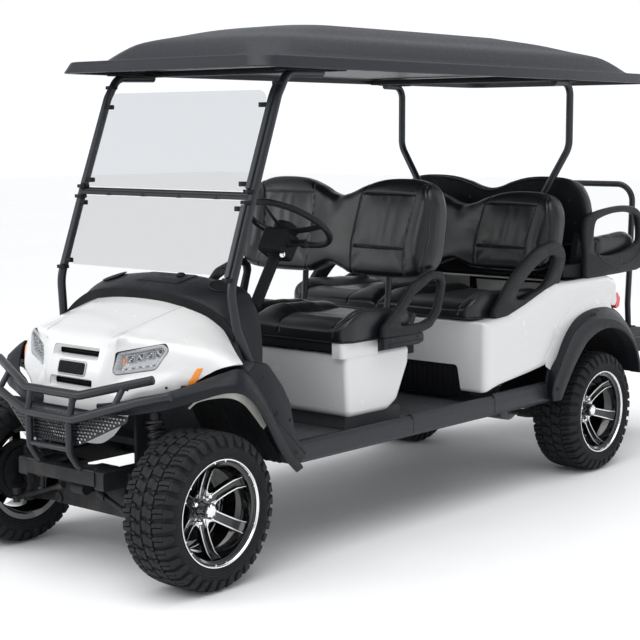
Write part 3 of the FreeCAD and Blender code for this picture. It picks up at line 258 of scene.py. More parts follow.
# ------------------------------------------------------------ mesh helpers
def smooth_line(pts, n):
    """n points along a smooth curve through pts, spaced by chord^0.75."""
    pts = [np.asarray(p, float) for p in pts]
    dd = [0.0]
    for a, b in zip(pts, pts[1:]):
        dd.append(dd[-1] + max(1e-6, float(np.linalg.norm(a - b))) ** 0.75)
    k = len(pts)
    tan = []
    for i in range(k):
        lo, hi = max(0, i - 1), min(k - 1, i + 1)
        tan.append((pts[hi] - pts[lo]) / (dd[hi] - dd[lo]))
    out, i = [], 0
    for j in range(n):
        t = dd[-1] * j / (n - 1)
        while i < k - 2 and t > dd[i + 1]:
            i += 1
        h = dd[i + 1] - dd[i]
        u = (t - dd[i]) / h
        out.append((2 * u ** 3 - 3 * u ** 2 + 1) * pts[i] + (u ** 3 - 2 * u ** 2 + u) * h * tan[i]
                   + (3 * u ** 2 - 2 * u ** 3) * pts[i + 1] + (u ** 3 - u ** 2) * h * tan[i + 1])
    return np.array(out)


def even(pts, n, closed=False):
    """n points evenly spaced along a polyline."""
    p = np.array(pts, float)
    if closed:
        p = np.vstack([p, p[:1]])
    s = np.concatenate([[0], np.cumsum(np.linalg.norm(np.diff(p, axis=0), axis=1))])
    t = np.linspace(0, s[-1], n + 1)[:-1] if closed else np.linspace(0, s[-1], n)
    return np.stack([np.interp(t, s, p[:, c]) for c in range(p.shape[1])], 1)


def smooth_grid(grid, nu, nv):
    rows = [smooth_line(r, nv) for r in grid]
    cols = [smooth_line([r[j] for r in rows], nu) for j in range(nv)]
    return np.array([[cols[j][i] for j in range(nv)] for i in range(nu)])


def rounded(points, radii, closed=True, seg=6):
    """Polyline with an arc at each corner; 2-D or 3-D."""
    P = [np.asarray(p, float) for p in points]
    n = len(P)
    rs = list(radii) if isinstance(radii, (list, tuple)) else [radii] * n
    out = []
    for i in range(n):
        if (not closed and i in (0, n - 1)) or rs[i] <= 0.01:
            out.append(P[i])
            continue
        a, b, c = P[i - 1], P[i], P[(i + 1) % n]
        u, w = a - b, c - b
        lu, lw = np.linalg.norm(u), np.linalg.norm(w)
        u, w = u / lu, w / lw
        ang = math.acos(max(-1.0, min(1.0, float(u @ w))))
        if ang > math.pi - 0.02:
            out.append(b)
            continue
        t = min(rs[i] / math.tan(ang / 2), 0.47 * lu, 0.47 * lw)
        r = t * math.tan(ang / 2)
        bis = (u + w) / np.linalg.norm(u + w)
        cen = b + bis * (r / math.sin(ang / 2))
        e0, e1 = (b + u * t) - cen, (b + w * t) - cen
        sweep = math.pi - ang
        k = max(2, int(round(seg * sweep / (math.pi / 2))) + 1)
        for j in range(k + 1):
            f = j / k
            out.append(cen + (math.sin((1 - f) * sweep) * e0 + math.sin(f * sweep) * e1) / math.sin(sweep))
    return np.array(out)


def inset2(poly, dist):
    """Inset a closed 2-D polygon by dist (positive goes inwards)."""
    p = np.array(poly, float)
    area = 0.5 * np.sum(p[:, 0] * np.roll(p[:, 1], -1) - np.roll(p[:, 0], -1) * p[:, 1])
    sgn = 1.0 if area > 0 else -1.0
    e = np.roll(p, -1, 0) - p
    e /= np.maximum(np.linalg.norm(e, axis=1, keepdims=True), 1e-9)
    nrm = np.stack([-e[:, 1], e[:, 0]], 1) * sgn
    pn = np.roll(nrm, 1, 0)
    m_ = nrm + pn
    ln = np.maximum((m_ * m_).sum(1, keepdims=True), 0.4)
    return p + m_ * (2.0 * dist / ln)


class Bin:
    """Collects shapes, in millimetres, into one mesh."""

    def __init__(self):
        self.v, self.f, self.m = [], [], []

    def add(self, verts, faces, m=0):
        o = len(self.v)
        self.v += [tuple(map(float, p)) for p in verts]
        self.f += [tuple(o + i for i in f) for f in faces]
        self.m += [m] * len(faces)
        return self

    def rings(self, rings, m=0, cap=True, loop=False, ms=None):
        """Skin consecutive rings of equal point count."""
        o = len(self.v)
        n = len(rings[0])
        for r in rings:
            self.v += [tuple(map(float, p)) for p in r]
        k = len(rings)
        for i in range(k if loop else k - 1):
            a, b = o + i * n, o + ((i + 1) % k) * n
            for j in range(n):
                q = (j + 1) % n
                self.f.append((a + j, a + q, b + q, b + j))
                self.m.append(ms[j] if ms else m)
        if cap and not loop:
            self.f.append(tuple(o + j for j in range(n))[::-1])
            self.f.append(tuple(o + (k - 1) * n + j for j in range(n)))
            self.m += [m, m]
        return self

    def prism(self, outline, axis, a, b, radii=0.0, bevel=0.0, m=0, seg=5, xf=None):
        o2 = rounded(outline, radii, True, seg) if np.max(radii) > 0 else np.array(outline, float)
        keep = [o2[0]]
        for p in o2[1:]:
            if np.linalg.norm(p - keep[-1]) > 0.02:
                keep.append(p)
        if np.linalg.norm(keep[0] - keep[-1]) < 0.02:
            keep.pop()
        o2 = np.array(keep)
        if a > b:
            a, b = b, a
        if bevel > 0:
            k = min(bevel, (b - a) * 0.45)
            lv = [(a, k), (a + 0.3 * k, 0.3 * k), (a + k, 0.0), (b - k, 0.0), (b - 0.3 * k, 0.3 * k), (b, k)]
        else:
            lv = [(a, 0.0), (b, 0.0)]
        rg = []
        for h, ins in lv:
            q = inset2(o2, ins) if ins > 0 else o2
            if axis == "x":
                r = [(h, p[0], p[1]) for p in q]
            elif axis == "y":
                r = [(p[0], h, p[1]) for p in q]
            else:
                r = [(p[0], p[1], h) for p in q]
            rg.append([xf(p) for p in r] if xf else r)
        return self.rings(rg, m)

    def box(self, x0, x1, y0, y1, z0, z1, bevel=2.0, r=3.0, m=0, xf=None):
        return self.prism([(x0, y0), (x1, y0), (x1, y1), (x0, y1)], "z", z0, z1, r, bevel, m, 2, xf)

    def sweep(self, path, section, closed=False, up=None, scale=None, m=0, cap=True, soft=0.0, ms=None):
        """Move a 2-D section along a path. `up` fixes the section's first axis."""
        p = np.array(path, float)
        n = len(p)
        if closed:
            T = np.roll(p, -1, 0) - np.roll(p, 1, 0)
        else:
            T = np.vstack([p[1] - p[0], p[2:] - p[:-2], p[-1] - p[-2]]) if n > 2 else np.array([p[1] - p[0]] * 2)
        T /= np.maximum(np.linalg.norm(T, axis=1, keepdims=True), 1e-9)
        sec = np.array(section, float)
        N = []
        if up is not None:
            U = np.array(up, float)
            U = np.tile(U, (n, 1)) if U.ndim == 1 else U
            for t, u in zip(T, U):
                w = u - t * float(u @ t)
                N.append(w / max(np.linalg.norm(w), 1e-9))
        else:
            ref = np.array([0, 0, 1.0]) if abs(T[0][2]) < 0.9 else np.array([1.0, 0, 0])
            w = ref - T[0] * float(ref @ T[0])
            w /= np.linalg.norm(w)
            for t in T:
                w = w - t * float(w @ t)
                w /= np.linalg.norm(w)
                N.append(w.copy())
        rg = []
        for i in range(n):
            b = np.cross(T[i], N[i])
            k = 1.0 if scale is None else scale[i]
            k = np.array([k, k]) if np.isscalar(k) else np.array(k)
            rg.append(p[i] + np.outer(sec[:, 0] * k[0], N[i]) + np.outer(sec[:, 1] * k[1], b))
        if soft > 0 and not closed:
            def tip(r, q, t, s):
                c = r.mean(0)
                return [c + (r - c) * 0.72 + t * s * soft, c + (r - c) * 0.93 + t * s * soft * 0.72]
            a = tip(rg[0], p[0], T[0], -1)
            b = tip(rg[-1], p[-1], T[-1], 1)
            rg = [a[0], a[1]] + rg + [b[1], b[0]]
        return self.rings(rg, m, cap, closed, ms)

    def tube(self, points, r, bend=0.0, closed=False, n=14, m=0, seg=6, soft=None):
        path = rounded(points, bend, closed, seg)
        keep = [path[0]]
        for q in path[1:]:
            if np.linalg.norm(q - keep[-1]) > 0.05:
                keep.append(q)
        sec = [(r * math.cos(a), r * math.sin(a)) for a in np.linspace(0, 2 * math.pi, n, endpoint=False)]
        return self.sweep(keep, sec, closed, None, None, m, True, r * 0.25 if soft is None else soft)

    def lathe(self, prof, c, axis=(1, 0, 0), n=48, m=0, ms=None, closed=True, ref=None):
        """prof = (along axis, radius); turned about c."""
        ax = np.array(axis, float)
        ax /= np.linalg.norm(ax)
        ref = np.array([0, 0, 1.0]) if ref is None and abs(ax[2]) < 0.9 else np.array([1.0, 0, 0])
        e1 = ref - ax * float(ref @ ax)
        e1 /= np.linalg.norm(e1)
        e2 = np.cross(ax, e1)
        c = np.array(c, float)
        rg = []
        for k in range(n):
            t = 2 * math.pi * k / n
            dr = e1 * math.cos(t) + e2 * math.sin(t)
            rg.append([c + ax * a + dr * r for a, r in prof])
        o = len(self.v)
        q = len(prof)
        for r in rg:
            self.v += [tuple(p) for p in r]
        for i in range(n):
            a, b = o + i * q, o + ((i + 1) % n) * q
            for j in range(q if closed else q - 1):
                w = (j + 1) % q
                self.f.append((a + j, a + w, b + w, b + j))
                self.m.append(ms[j] if ms else m)
        return self

    def shell(self, grid, t, m=0, flip=False, m_in=None):
        """A wall of thickness t behind a dense grid."""
        g = np.array(grid, float)
        nu, nv = g.shape[:2]
        du = np.vstack([g[1:2] - g[0:1], g[2:] - g[:-2], g[-1:] - g[-2:-1]])
        dv = np.concatenate([g[:, 1:2] - g[:, 0:1], g[:, 2:] - g[:, :-2], g[:, -1:] - g[:, -2:-1]], 1)
        nr = np.cross(du, dv)
        nr /= np.maximum(np.linalg.norm(nr, axis=2, keepdims=True), 1e-9)
        back = g + nr * (t if flip else -t)
        o = len(self.v)
        self.v += [tuple(p) for p in g.reshape(-1, 3)] + [tuple(p) for p in back.reshape(-1, 3)]
        s = nu * nv
        mi = m if m_in is None else m_in
        for i in range(nu - 1):
            for j in range(nv - 1):
                a, b, c, e = i * nv + j, i * nv + j + 1, (i + 1) * nv + j + 1, (i + 1) * nv + j
                self.f.append((o + a, o + b, o + c, o + e))
                self.f.append((o + s + a, o + s + e, o + s + c, o + s + b))
                self.m += [m, mi]
        edge = [(i * nv, (i + 1) * nv) for i in range(nu - 1)] + [(i * nv + nv - 1, (i + 1) * nv + nv - 1) for i in range(nu - 1)]
        edge += [(j, j + 1) for j in range(nv - 1)] + [((nu - 1) * nv + j, (nu - 1) * nv + j + 1) for j in range(nv - 1)]
        for a, b in edge:
            self.f.append((o + a, o + b, o + s + b, o + s + a))
            self.m.append(mi)
        return self

    def bolt(self, p, nrm, r=6.0, h=4.0, m=0, hexa=True):
        """Flanged bolt head standing on p."""
        self.lathe([(-1, 0.01), (-1, r * 1.5), (0.9, r * 1.45), (1.4, r * 1.25), (1.4, 0.01)], p, nrm, 20, m)
        self.lathe([(1, 0.01), (1, r), (h * 0.8, r), (h, r * 0.84), (h, 0.01)], p, nrm, 6 if hexa else 18, m)
        return self

    def mirrored(self):
        """Add a copy of everything so far on the other side."""
        o = len(self.v)
        self.v += [(-x, y, z) for x, y, z in self.v]
        self.f += [tuple(o + i for i in f)[::-1] for f in self.f]
        self.m += list(self.m)
        return self

    def make(self, name, body, mats, slot=None, smooth=38.0, weld=0.01, bevel=0.0, nodes=(), keep=False):
        mats = mats if isinstance(mats, (list, tuple)) else [mats]
        me = bpy.data.meshes.new(name)
        me.from_pydata(to_m(self.v).tolist(), [], self.f)
        me.polygons.foreach_set("material_index", np.array(self.m, np.int32))
        bm = bmesh.new()
        bm.from_mesh(me)
        bmesh.ops.remove_doubles(bm, verts=bm.verts, dist=weld / 1000)
        bmesh.ops.dissolve_degenerate(bm, dist=1e-6, edges=bm.edges)
        loose = [v for v in bm.verts if not v.link_faces]
        bmesh.ops.delete(bm, geom=loose, context="VERTS")
        if not keep:
            bmesh.ops.recalc_face_normals(bm, faces=bm.faces)
        bm.to_mesh(me)
        bm.free()
        for mt in mats:
            me.materials.append(mt)
        ob = bpy.data.objects.new(name, me)
        scene.collection.objects.link(ob)
        if bevel > 0:
            bv = ob.modifiers.new("bevel", "BEVEL")
            bv.width = bevel / 1000
            bv.segments = 2
            bv.limit_method = "ANGLE"
            bv.angle_limit = math.radians(34)
            bv.use_clamp_overlap = True
            bv.harden_normals = False
            apply(ob)
        shade(ob, smooth)
        dress(ob, body, nodes)
        return ob


def apply(ob):
    bpy.context.view_layer.update()
    dg = bpy.context.evaluated_depsgraph_get()
    me = bpy.data.meshes.new_from_object(ob.evaluated_get(dg), depsgraph=dg)
    old = ob.data
    ob.modifiers.clear()
    ob.data = me
    if old.users == 0:
        bpy.data.meshes.remove(old)


def shade(ob, angle):
    me = ob.data
    me.polygons.foreach_set("use_smooth", [True] * len(me.polygons))
    me.set_sharp_from_angle(angle=math.radians(angle))


def dress(ob, body, nodes=()):
    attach(ob, body)
    if nodes:
        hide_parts(*nodes)


def cut(ob, cutter, op="DIFFERENCE"):
    md = ob.modifiers.new("cut", "BOOLEAN")
    md.operation = op
    md.solver = "EXACT"
    md.object = cutter
    apply(ob)


def loose(b, name):
    """A helper object, used for cutting only."""
    me = bpy.data.meshes.new(name)
    me.from_pydata(to_m(b.v).tolist(), [], b.f)
    bm = bmesh.new()
    bm.from_mesh(me)
    bmesh.ops.remove_doubles(bm, verts=bm.verts, dist=1e-5)
    bmesh.ops.recalc_face_normals(bm, faces=bm.faces)
    bm.to_mesh(me)
    bm.free()
    ob = bpy.data.objects.new(name, me)
    scene.collection.objects.link(ob)
    return ob


def paint(*names, mat):
    for n in names:
        me = NODES[n].data
        me.materials.clear()
        me.materials.append(mat)


def bvh_of(ob):
    me = ob.data
    return BVHTree.FromPolygons([v.co.copy() for v in me.vertices], [tuple(p.vertices) for p in me.polygons])


def hit(tree, p, dr):
    """Where a ray from p (mm) along dr meets the tree; point and normal in mm."""
    o = Vector(to_m(p))
    q, n, _, _ = tree.ray_cast(o, Vector(dr))
    if q is None:
        return None, None
    return np.array([q.x * 1000, q.y * 1000 + Y_MID, q.z * 1000]), np.array(n)


# ------------------------------------------------------- floor and light
def stage_plane():
    me = bpy.data.meshes.new("floor")
    s = 40.0
    me.from_pydata([(-s, -s, 0), (s, -s, 0), (s, s, 0), (-s, s, 0)], [], [(0, 1, 2, 3)])
    ob = bpy.data.objects.new("floor", me)
    scene.collection.objects.link(ob)
    me.materials.append(material("floor_pale", (0.93, 0.93, 0.93), 0.6, spec=0.15, var=0.008, var_scale=0.6,
                                 grain=("noise", 120.0, 0.04, 0.0004)))
    ob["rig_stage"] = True


stage_plane()
scene.view_settings.view_transform = "Standard"
scene.view_settings.look = "None"
world = bpy.data.worlds.new("studio")
scene.world = world
world.use_nodes = True
world.node_tree.nodes["Background"].inputs[0].default_value = (0.935, 0.965, 1.0, 1)
world.node_tree.nodes["Background"].inputs[1].default_value = 1.0
wt = world.node_tree
w_tc = node(wt, "ShaderNodeTexCoord", -900, 0)
w_sp = node(wt, "ShaderNodeSeparateXYZ", -700, 0)
w_mr = node(wt, "ShaderNodeMapRange", -500, 0)
put_in(w_mr, From_Min=0.06, From_Max=0.45, To_Min=1.10, To_Max=0.50)
wt.links.new(w_tc.outputs["Generated"], w_sp.inputs["Vector"])
wt.links.new(w_sp.outputs["Z"], w_mr.inputs["Value"])
wt.links.new(w_mr.outputs["Result"], wt.nodes["Background"].inputs["Strength"])


sun = bpy.data.lights.new("sun_soft", "SUN")
sun.energy = 1.9
sun.angle = math.radians(70)
sun_ob = bpy.data.objects.new("sun_soft", sun)
sun_ob.rotation_euler = (math.radians(22), math.radians(5), 0)
scene.collection.objects.link(sun_ob)


def area(name, loc, target, size, power, size_y=None, col=(1, 1, 1)):
    li = bpy.data.lights.new(name, "AREA")
    li.shape = "RECTANGLE"
    li.size = size
    li.size_y = size_y or size
    li.energy = power
    li.color = col
    ob = bpy.data.objects.new(name, li)
    scene.collection.objects.link(ob)
    ob.location = loc
    ob.rotation_euler = (Vector(target) - Vector(loc)).to_track_quat("-Z", "Y").to_euler()
    return ob


area("top_soft", (0.4, -0.4, 5.6), (0, 0, 0.6), 5.0, 60, 6.0)
area("front_left_soft", (-3.2, -6.0, 3.4), (0.0, -0.6, 0.8), 3.4, 90, 2.6)
area("side_soft", (6.4, 0.6, 2.6), (0.0, 0.2, 0.7), 5.0, 18, 2.4)
area("rear_soft", (0.5, 7.0, 3.0), (0.0, 0.5, 1.0), 4.0, 40, 2.2)


# ------------------------------------------------------------------ wheels
TR = 286.0
TYRE = [(0, 286), (34, 286), (66, 284.8), (90, 281.6), (103, 275), (110.5, 264), (115.5, 249), (117.5, 233), (115.5, 216),
        (110.5, 201), (105.5, 190), (101, 183), (96, 179.5)]
_tp = even(smooth_line(TYRE, 90), 240)
_ts = np.concatenate([[0], np.cumsum(np.linalg.norm(np.diff(_tp, axis=0), axis=1))])


def skin_at(t, h=0.0):
    """Point of the tyre's outer skin at arc length t from the crown, raised by h: (axial, radius)."""
    s = 1.0 if t >= 0 else -1.0
    t = min(abs(t), _ts[-1] - 0.5)
    a, r = np.interp(t, _ts, _tp[:, 0]), np.interp(t, _ts, _tp[:, 1])
    a2, r2 = np.interp(t + 0.5, _ts, _tp[:, 0]), np.interp(t + 0.5, _ts, _tp[:, 1])
    da, dr = a2 - a, r2 - r
    ln = math.hypot(da, dr) or 1.0
    return s * (a - dr / ln * h), r + da / ln * h


def depth(t):
    t = abs(t)
    return 9.5 * (1.0 if t < 128 else max(0.0, 1 - (t - 128) / 26.0))


def wheel(tag, cx, cy, side, spin):
    cz = TR
    b = Bin()
    # carcass
    ts = list(np.linspace(-_ts[-1] + 0.6, _ts[-1] - 0.6, 76))
    prof = [skin_at(t, -depth(t)) for t in ts]
    prof = [(side * a, r) for a, r in prof]
    inner = [(84, 179), (92, 200), (100, 232), (97, 254), (86, 265), (50, 269), (-50, 269), (-86, 265), (-97, 254), (-100, 232),
             (-92, 200), (-84, 179)]
    prof += [(side * a, r) for a, r in inner]
    b.lathe(prof, (cx, cy, cz), (1, 0, 0), 144, 0)
    # raised rings on the side walls
    for rr, w in ((212, 1.6), (222, 1.2), (200, 1.4)):
        for s in (-1, 1):
            t = np.interp(-rr, -_tp[:, 1][::1], _ts)
            q = [skin_at(s * (t - 1.6), -0.6), skin_at(s * (t - 0.9), w * 0.8), skin_at(s * (t + 0.9), w * 0.8), skin_at(s * (t + 1.6), -0.6)]
            b.lathe([(side * a, r) for a, r in q], (cx, cy, cz), (1, 0, 0), 120, 0)

    def pt(t, s, h):
        a, r = skin_at(t, h)
        th = s / TR
        return (cx + side * a, cy - r * math.cos(th), cz + r * math.sin(th))

    def ribbon(st, top=0.0, deep=11.0):
        """A tread block: stations (t, s0, s1)."""
        rg = []
        k = len(st)
        for i, (t, s0, s1) in enumerate(st):
            dp = depth(t) + 1.6
            hp = top if abs(t) < 120 else top + 1.4 * min(1.0, (abs(t) - 120) / 24)
            e = 0.0
            rg.append([pt(t, s0, -dp), pt(t, s0 + 0.9, hp - 1.1), pt(t, s0 + 2.1, hp), pt(t, s1 - 2.1, hp),
                       pt(t, s1 - 0.9, hp - 1.1), pt(t, s1, -dp)])
        b.rings(rg, 0, True)

    n = 36
    pitch = 2 * math.pi * TR / n
    for k in range(n):
        o = k * pitch
        for sg in (-1, 1):
            q = o + (pitch * 0.5 if sg < 0 else 0.0)

            def S(*st):
                ribbon([(sg * t, q + sg * s0 if sg > 0 else q - s1, q + sg * s1 if sg > 0 else q - s0) for t, s0, s1 in st])
            long = (k % 2 == 0)
            end = 152 if long else 141
            # shoulder lug, curving over the edge; a fine cut splits its inner part
            S((58, -25, -7), (66, -23, -5.2), (78, -19.5, -3.4), (90, -17, -2.2), (97, -16.5, -1.8))
            S((54, -5.5, 10), (62, -3.4, 12.5), (74, -1.6, 15), (88, -0.4, 16.6), (97, 0.2, 17))
            S((98.6, -16.4, 17), (106, -15.8, 17.2), (114, -15.2, 17.2), (124, -14.4, 16.8), (134, -13.0, 15.8),
              (end - 4, -11.0, 13.6), (end, -8.0, 10.0))
            # centre block with a wavy cut
            S((4.5, -20, 12), (10, -22, 16), (17, -20.5, 15), (24.2, -22.5, 12))
            S((25.8, -23, 11.6), (32, -26, 7), (40, -27, 5.5), (49, -23, 2))
            # small filler block in the groove
            S((34, 10.5, 19), (41, 9, 20.5), (48, 7.6, 18))
    b.make("tyre_" + tag + "_tread", tag + "_wheel", RUBBER, "tyre", 42, nodes=["tyre_" + tag])

    # ---- rim
    R = Bin()
    # barrel: black inside, thin machined lip
    prof = [(109.5, 190.0), (110, 194.2), (105, 195), (100, 180), (62, 176.5), (40, 159), (-40, 159), (-66, 176.5), (-98, 179),
            (-104, 191), (-110, 191), (-105, 172), (-66, 168), (-44, 151), (34, 151), (56, 168), (92, 172), (99, 182),
            (104, 187.0)]
    ms = [1] + [0] * 16 + [0, 1]
    prof = [(side * a, r) for a, r in prof]
    R.lathe(prof, (cx, cy, cz), (1, 0, 0), 120, 0, ms)

    def polar(a, r, ang, w=0.0):
        """axial a, radius r at angle ang, shifted w sideways."""
        c, s = math.cos(ang), math.sin(ang)
        return (cx + side * a, cy + r * c - w * s, cz + r * s + w * c)

    path = [(12, 34, 18), (19, 58, 19), (26, 84, 19), (36, 112, 19.5), (50, 140, 20), (56, 150, 20.5), (76, 166, 21.5),
            (92, 176, 22.5), (101, 184, 23.5)]
    for k in range(6):
        ang = math.radians(60 * k + spin)
        rg = []
        for i, (a, r, w) in enumerate(path):
            ch = 11.0 if 2 <= i <= 5 else (4.5 if i in (0, 1) else 7.0 if i in (6,) else 3.0)
            tw = 4.6 if 1 <= i <= 5 else 2.0
            a0 = a - 24 if i < 6 else a - 14
            lo = 2.5
            sec = [(-w - lo, a0), (-w - 0.8, a - 1.4), (-w, a), (-w + tw, a), (-w + tw + 1.6, a - ch), (w - tw - 1.6, a - ch),
                   (w - tw, a), (w, a), (w + 0.8, a - 1.4), (w + lo, a0)]
            rg.append([polar(q, r, ang, x) for x, q in sec])
        mcol = [0, 0, 1, 0, 0, 0, 1, 0, 0, 0]
        o = len(R.f)
        R.rings(rg, 0, True, False, mcol)
        # small machined wedges where the spoke meets the lip
        for s in (-1, 1):
            pts = [(192.5, s * 20), (192.0, s * 38), (179, s * 25)]
            R.rings([[polar(q, r, ang, x) for r, x in pts] for q in (98.5, 106.5)], 1)
        # machined web between this spoke and the next
        a2 = ang + math.radians(30)
        w1 = math.radians(24)
        edge = []
        for t in np.linspace(-1, 1, 9):
            rr = 62 + 26 * t * t
            edge.append((rr, a2 + t * w1 * (58 / rr) ** 0.6))
        base = [(36, a2 + w1 * 0.9), (36, a2 - w1 * 0.9)]
        loopp = [(r, g) for r, g in edge] + base
        R.rings([[(cx + side * (q + 0.26 * (r - 34)), cy + r * math.cos(g), cz + r * math.sin(g)) for r, g in loopp]
                 for q in (-2.0, 9.5)], 1)
        # lug nuts, four in all, sit in pockets between spokes
    for k in range(4):
        g = math.radians(90 * k + spin + 30)
        p = (cx + side * 8, cy + 50 * math.cos(g), cz + 50 * math.sin(g))
        R.lathe([(0, 0.01), (0, 13.5), (3, 13.5), (4, 12), (4, 0.01)], p, (side, 0, 0), 24, 0)
        R.lathe([(3, 0.01), (3, 9.6), (22, 9.2), (25, 6.0), (26, 0.01)], p, (side, 0, 0), 6, 2)
    # hub barrel and its scalloped cap
    R.lathe([(side * a, r) for a, r in [(-22, 0.01), (-22, 60), (4, 58), (10, 44), (12, 31), (56, 29.5), (58, 27), (58, 0.01)]],
            (cx, cy, cz), (1, 0, 0), 60, 0)
    pts = []
    for k in range(48):
        g = 2 * math.pi * k / 48
        rr = 23.6 + 2.0 * math.cos(8 * g)
        pts.append((rr, g))
    R.rings([[(cx + side * a, cy + rr * q * math.cos(g), cz + rr * q * math.sin(g)) for rr, g in pts]
             for a, q in ((57, 1.0), (60, 1.0), (62.5, 0.92), (64.5, 0.7), (65.2, 0.35))], 2)
    # brake drum face seen through the spokes
    R.lathe([(side * a, r) for a, r in [(-60, 30), (-60, 120), (-34, 122), (-30, 112), (-28, 30)]], (cx, cy, cz), (1, 0, 0), 60, 3)
    R.make("rim_" + tag + "_face", tag + "_wheel", [GLOSS, MACHINED, CHROME, STEEL], "wheel_alloy", 32,
           nodes=["rim_" + tag])


for tag, x, y, sp in (("front_left", 531.0, -1305.0, 30.0), ("front_right", -531.0, -1305.0, 12.0),
                      ("rear_left", 531.0, 1305.0, 44.0), ("rear_right", -531.0, 1305.0, 3.0)):
    wheel(tag, x, y, 1 if x > 0 else -1, sp)


# ------------------------------------------------------------- painted nose
# Columns from the middle outwards, each from the chin over the crest to the
# rear edge of the hood.
NOSE = [
    [(0, -1425, 486), (0, -1446, 560), (0, -1449, 640), (0, -1440, 720), (0, -1424, 780), (0, -1404, 838),
     (0, -1382, 872), (0, -1316, 902), (0, -1240, 933), (0, -1164, 962), (0, -1088, 989)],
    [(130, -1415, 488), (150, -1438, 562), (150, -1444, 640), (140, -1436, 720), (136, -1421, 780), (133, -1402, 838),
     (130, -1384, 873), (132, -1316, 902), (134, -1240, 932), (138, -1164, 960), (142, -1088, 984)],
    [(185, -1398, 520), (205, -1425, 590), (200, -1436, 655), (182, -1420, 722), (186, -1405, 782), (205, -1400, 845),
     (222, -1402, 884), (225, -1326, 905), (228, -1247, 928), (232, -1167, 951), (236, -1087, 973)],
    [(232, -1386, 578), (243, -1406, 622), (243, -1424, 668), (222, -1395, 737), (230, -1388, 790), (245, -1378, 838),
     (256, -1366, 872), (262, -1304, 893), (268, -1231, 917), (274, -1156, 940), (280, -1076, 962)],
    [(287, -1370, 647), (290, -1382, 664), (300, -1393, 696), (291, -1367, 751), (299, -1351, 800), (312, -1336, 846),
     (322, -1318, 868), (328, -1272, 884), (332, -1208, 905), (337, -1140, 923), (342, -1066, 941)],
    [(353, -1343, 672), (360, -1354, 692), (368, -1357, 720), (366, -1334, 768), (382, -1316, 812), (392, -1300, 844),
     (400, -1282, 858), (407, -1246, 869), (411, -1196, 882), (412, -1130, 892), (412, -1058, 900)],
    [(416, -1310, 701), (420, -1314, 722), (426, -1312, 744), (432, -1299, 771), (444, -1282, 796), (457, -1266, 816),
     (470, -1247, 829), (483, -1223, 838), (493, -1192, 844), (501, -1148, 842), (508, -1090, 826)],
    [(466, -1266, 722), (478, -1260, 735), (492, -1252, 746), (505, -1243, 756), (516, -1232, 764), (528, -1220, 773),
     (540, -1207, 780), (553, -1193, 786), (567, -1177, 791), (580, -1160, 795), (592, -1140, 797)],
]
LAMP = [(202, 830), (365, 868), (388, 842), (351, 772), (188, 742)]     # x, z of the outline


def along(cols, us, crease, keep):
    """Rows between columns; across a crease the tangent breaks by `keep`."""
    cols = np.array(cols, float)
    n = len(cols)
    ch = np.linalg.norm(np.diff(cols, axis=0), axis=2)
    ch = np.maximum(ch, 1e-6) ** 0.75
    out = []
    for u in us:
        i = min(int(u), n - 2)
        t = u - i
        h = ch[i][:, None]

        def tg(k, side):
            lo, hi = max(0, k - 1), min(n - 1, k + 1)
            c = (cols[hi] - cols[lo]) / (ch[lo:hi].sum(0)[:, None])
            if k in crease and 0 < k < n - 1:
                o = (cols[k] - cols[k - 1]) / ch[k - 1][:, None] if side < 0 else (cols[k + 1] - cols[k]) / ch[k][:, None]
                c = c * (1 - keep) + o * keep
            return c
        a, b = tg(i, 1), tg(i + 1, -1)
        out.append((2 * t ** 3 - 3 * t ** 2 + 1) * cols[i] + (t ** 3 - 2 * t ** 2 + t) * h * a
                   + (3 * t ** 2 - 2 * t ** 3) * cols[i + 1] + (t ** 3 - t ** 2) * h * b)
    return np.array(out)


def nose_grid():
    cols = [[(-x, y, z) for x, y, z in c] for c in reversed(NOSE[1:])] + NOSE
    rows = [smooth_line(c, 71) for c in cols]
    us = np.concatenate([np.linspace(i, i + 1, 9)[:-1] for i in range(len(cols) - 1)] + [[len(cols) - 1]])
    return along(rows, us, {5, 9}, 0.85)


b = Bin()
b.shell(nose_grid(), 4.5)
cowl = b.make("front_cowl_paint", "chassis", [WHITE, PLASTIC_D], "white_body", 30, nodes=["front_cowl"])


def lamp_outline(grow=0.0):
    cx, cz = sum(p[0] for p in LAMP) / 5, sum(p[1] for p in LAMP) / 5
    o = rounded(LAMP, [16, 24, 18, 26, 18], True, 8)
    o = even(o, 72, True)
    return inset2(o, -grow) if grow else o


tree = bvh_of(cowl)


def nose_y(x, z, back=0.0):
    p, n = hit(tree, (x, -1700, z), (0, 1, 0))
    return (p[1] if p is not None else -1380.0) + back


def lens_y(x, z):
    return -1389 + 0.417 * (abs(x) - 202) + 0.2 * (z - 826)


def slot_outline(hx, z0, z1, r):
    return even(rounded([(-hx, z0), (hx, z0), (hx, z1), (-hx, z1)], r, True, 6), 96, True)


cuts = Bin()
for s in (1, -1):
    o = lamp_outline()
    cuts.rings([[(s * x, y, z) for x, z in o] for y in (-1500, -1200)])
cutter = loose(cuts, "cut_lamps")
cut(cowl, cutter)
bpy.data.objects.remove(cutter)
for z0, z1, hx in ((793, 838, 127), (684, 724, 117)):
    c2 = Bin()
    o = slot_outline(hx, z0, z1, 9)
    c2.rings([[(x, y, z) for x, z in o] for y in (-1500, -1360)])
    cutter = loose(c2, "cut_slot")
    cut(cowl, cutter)
    bpy.data.objects.remove(cutter)
shade(cowl, 26)

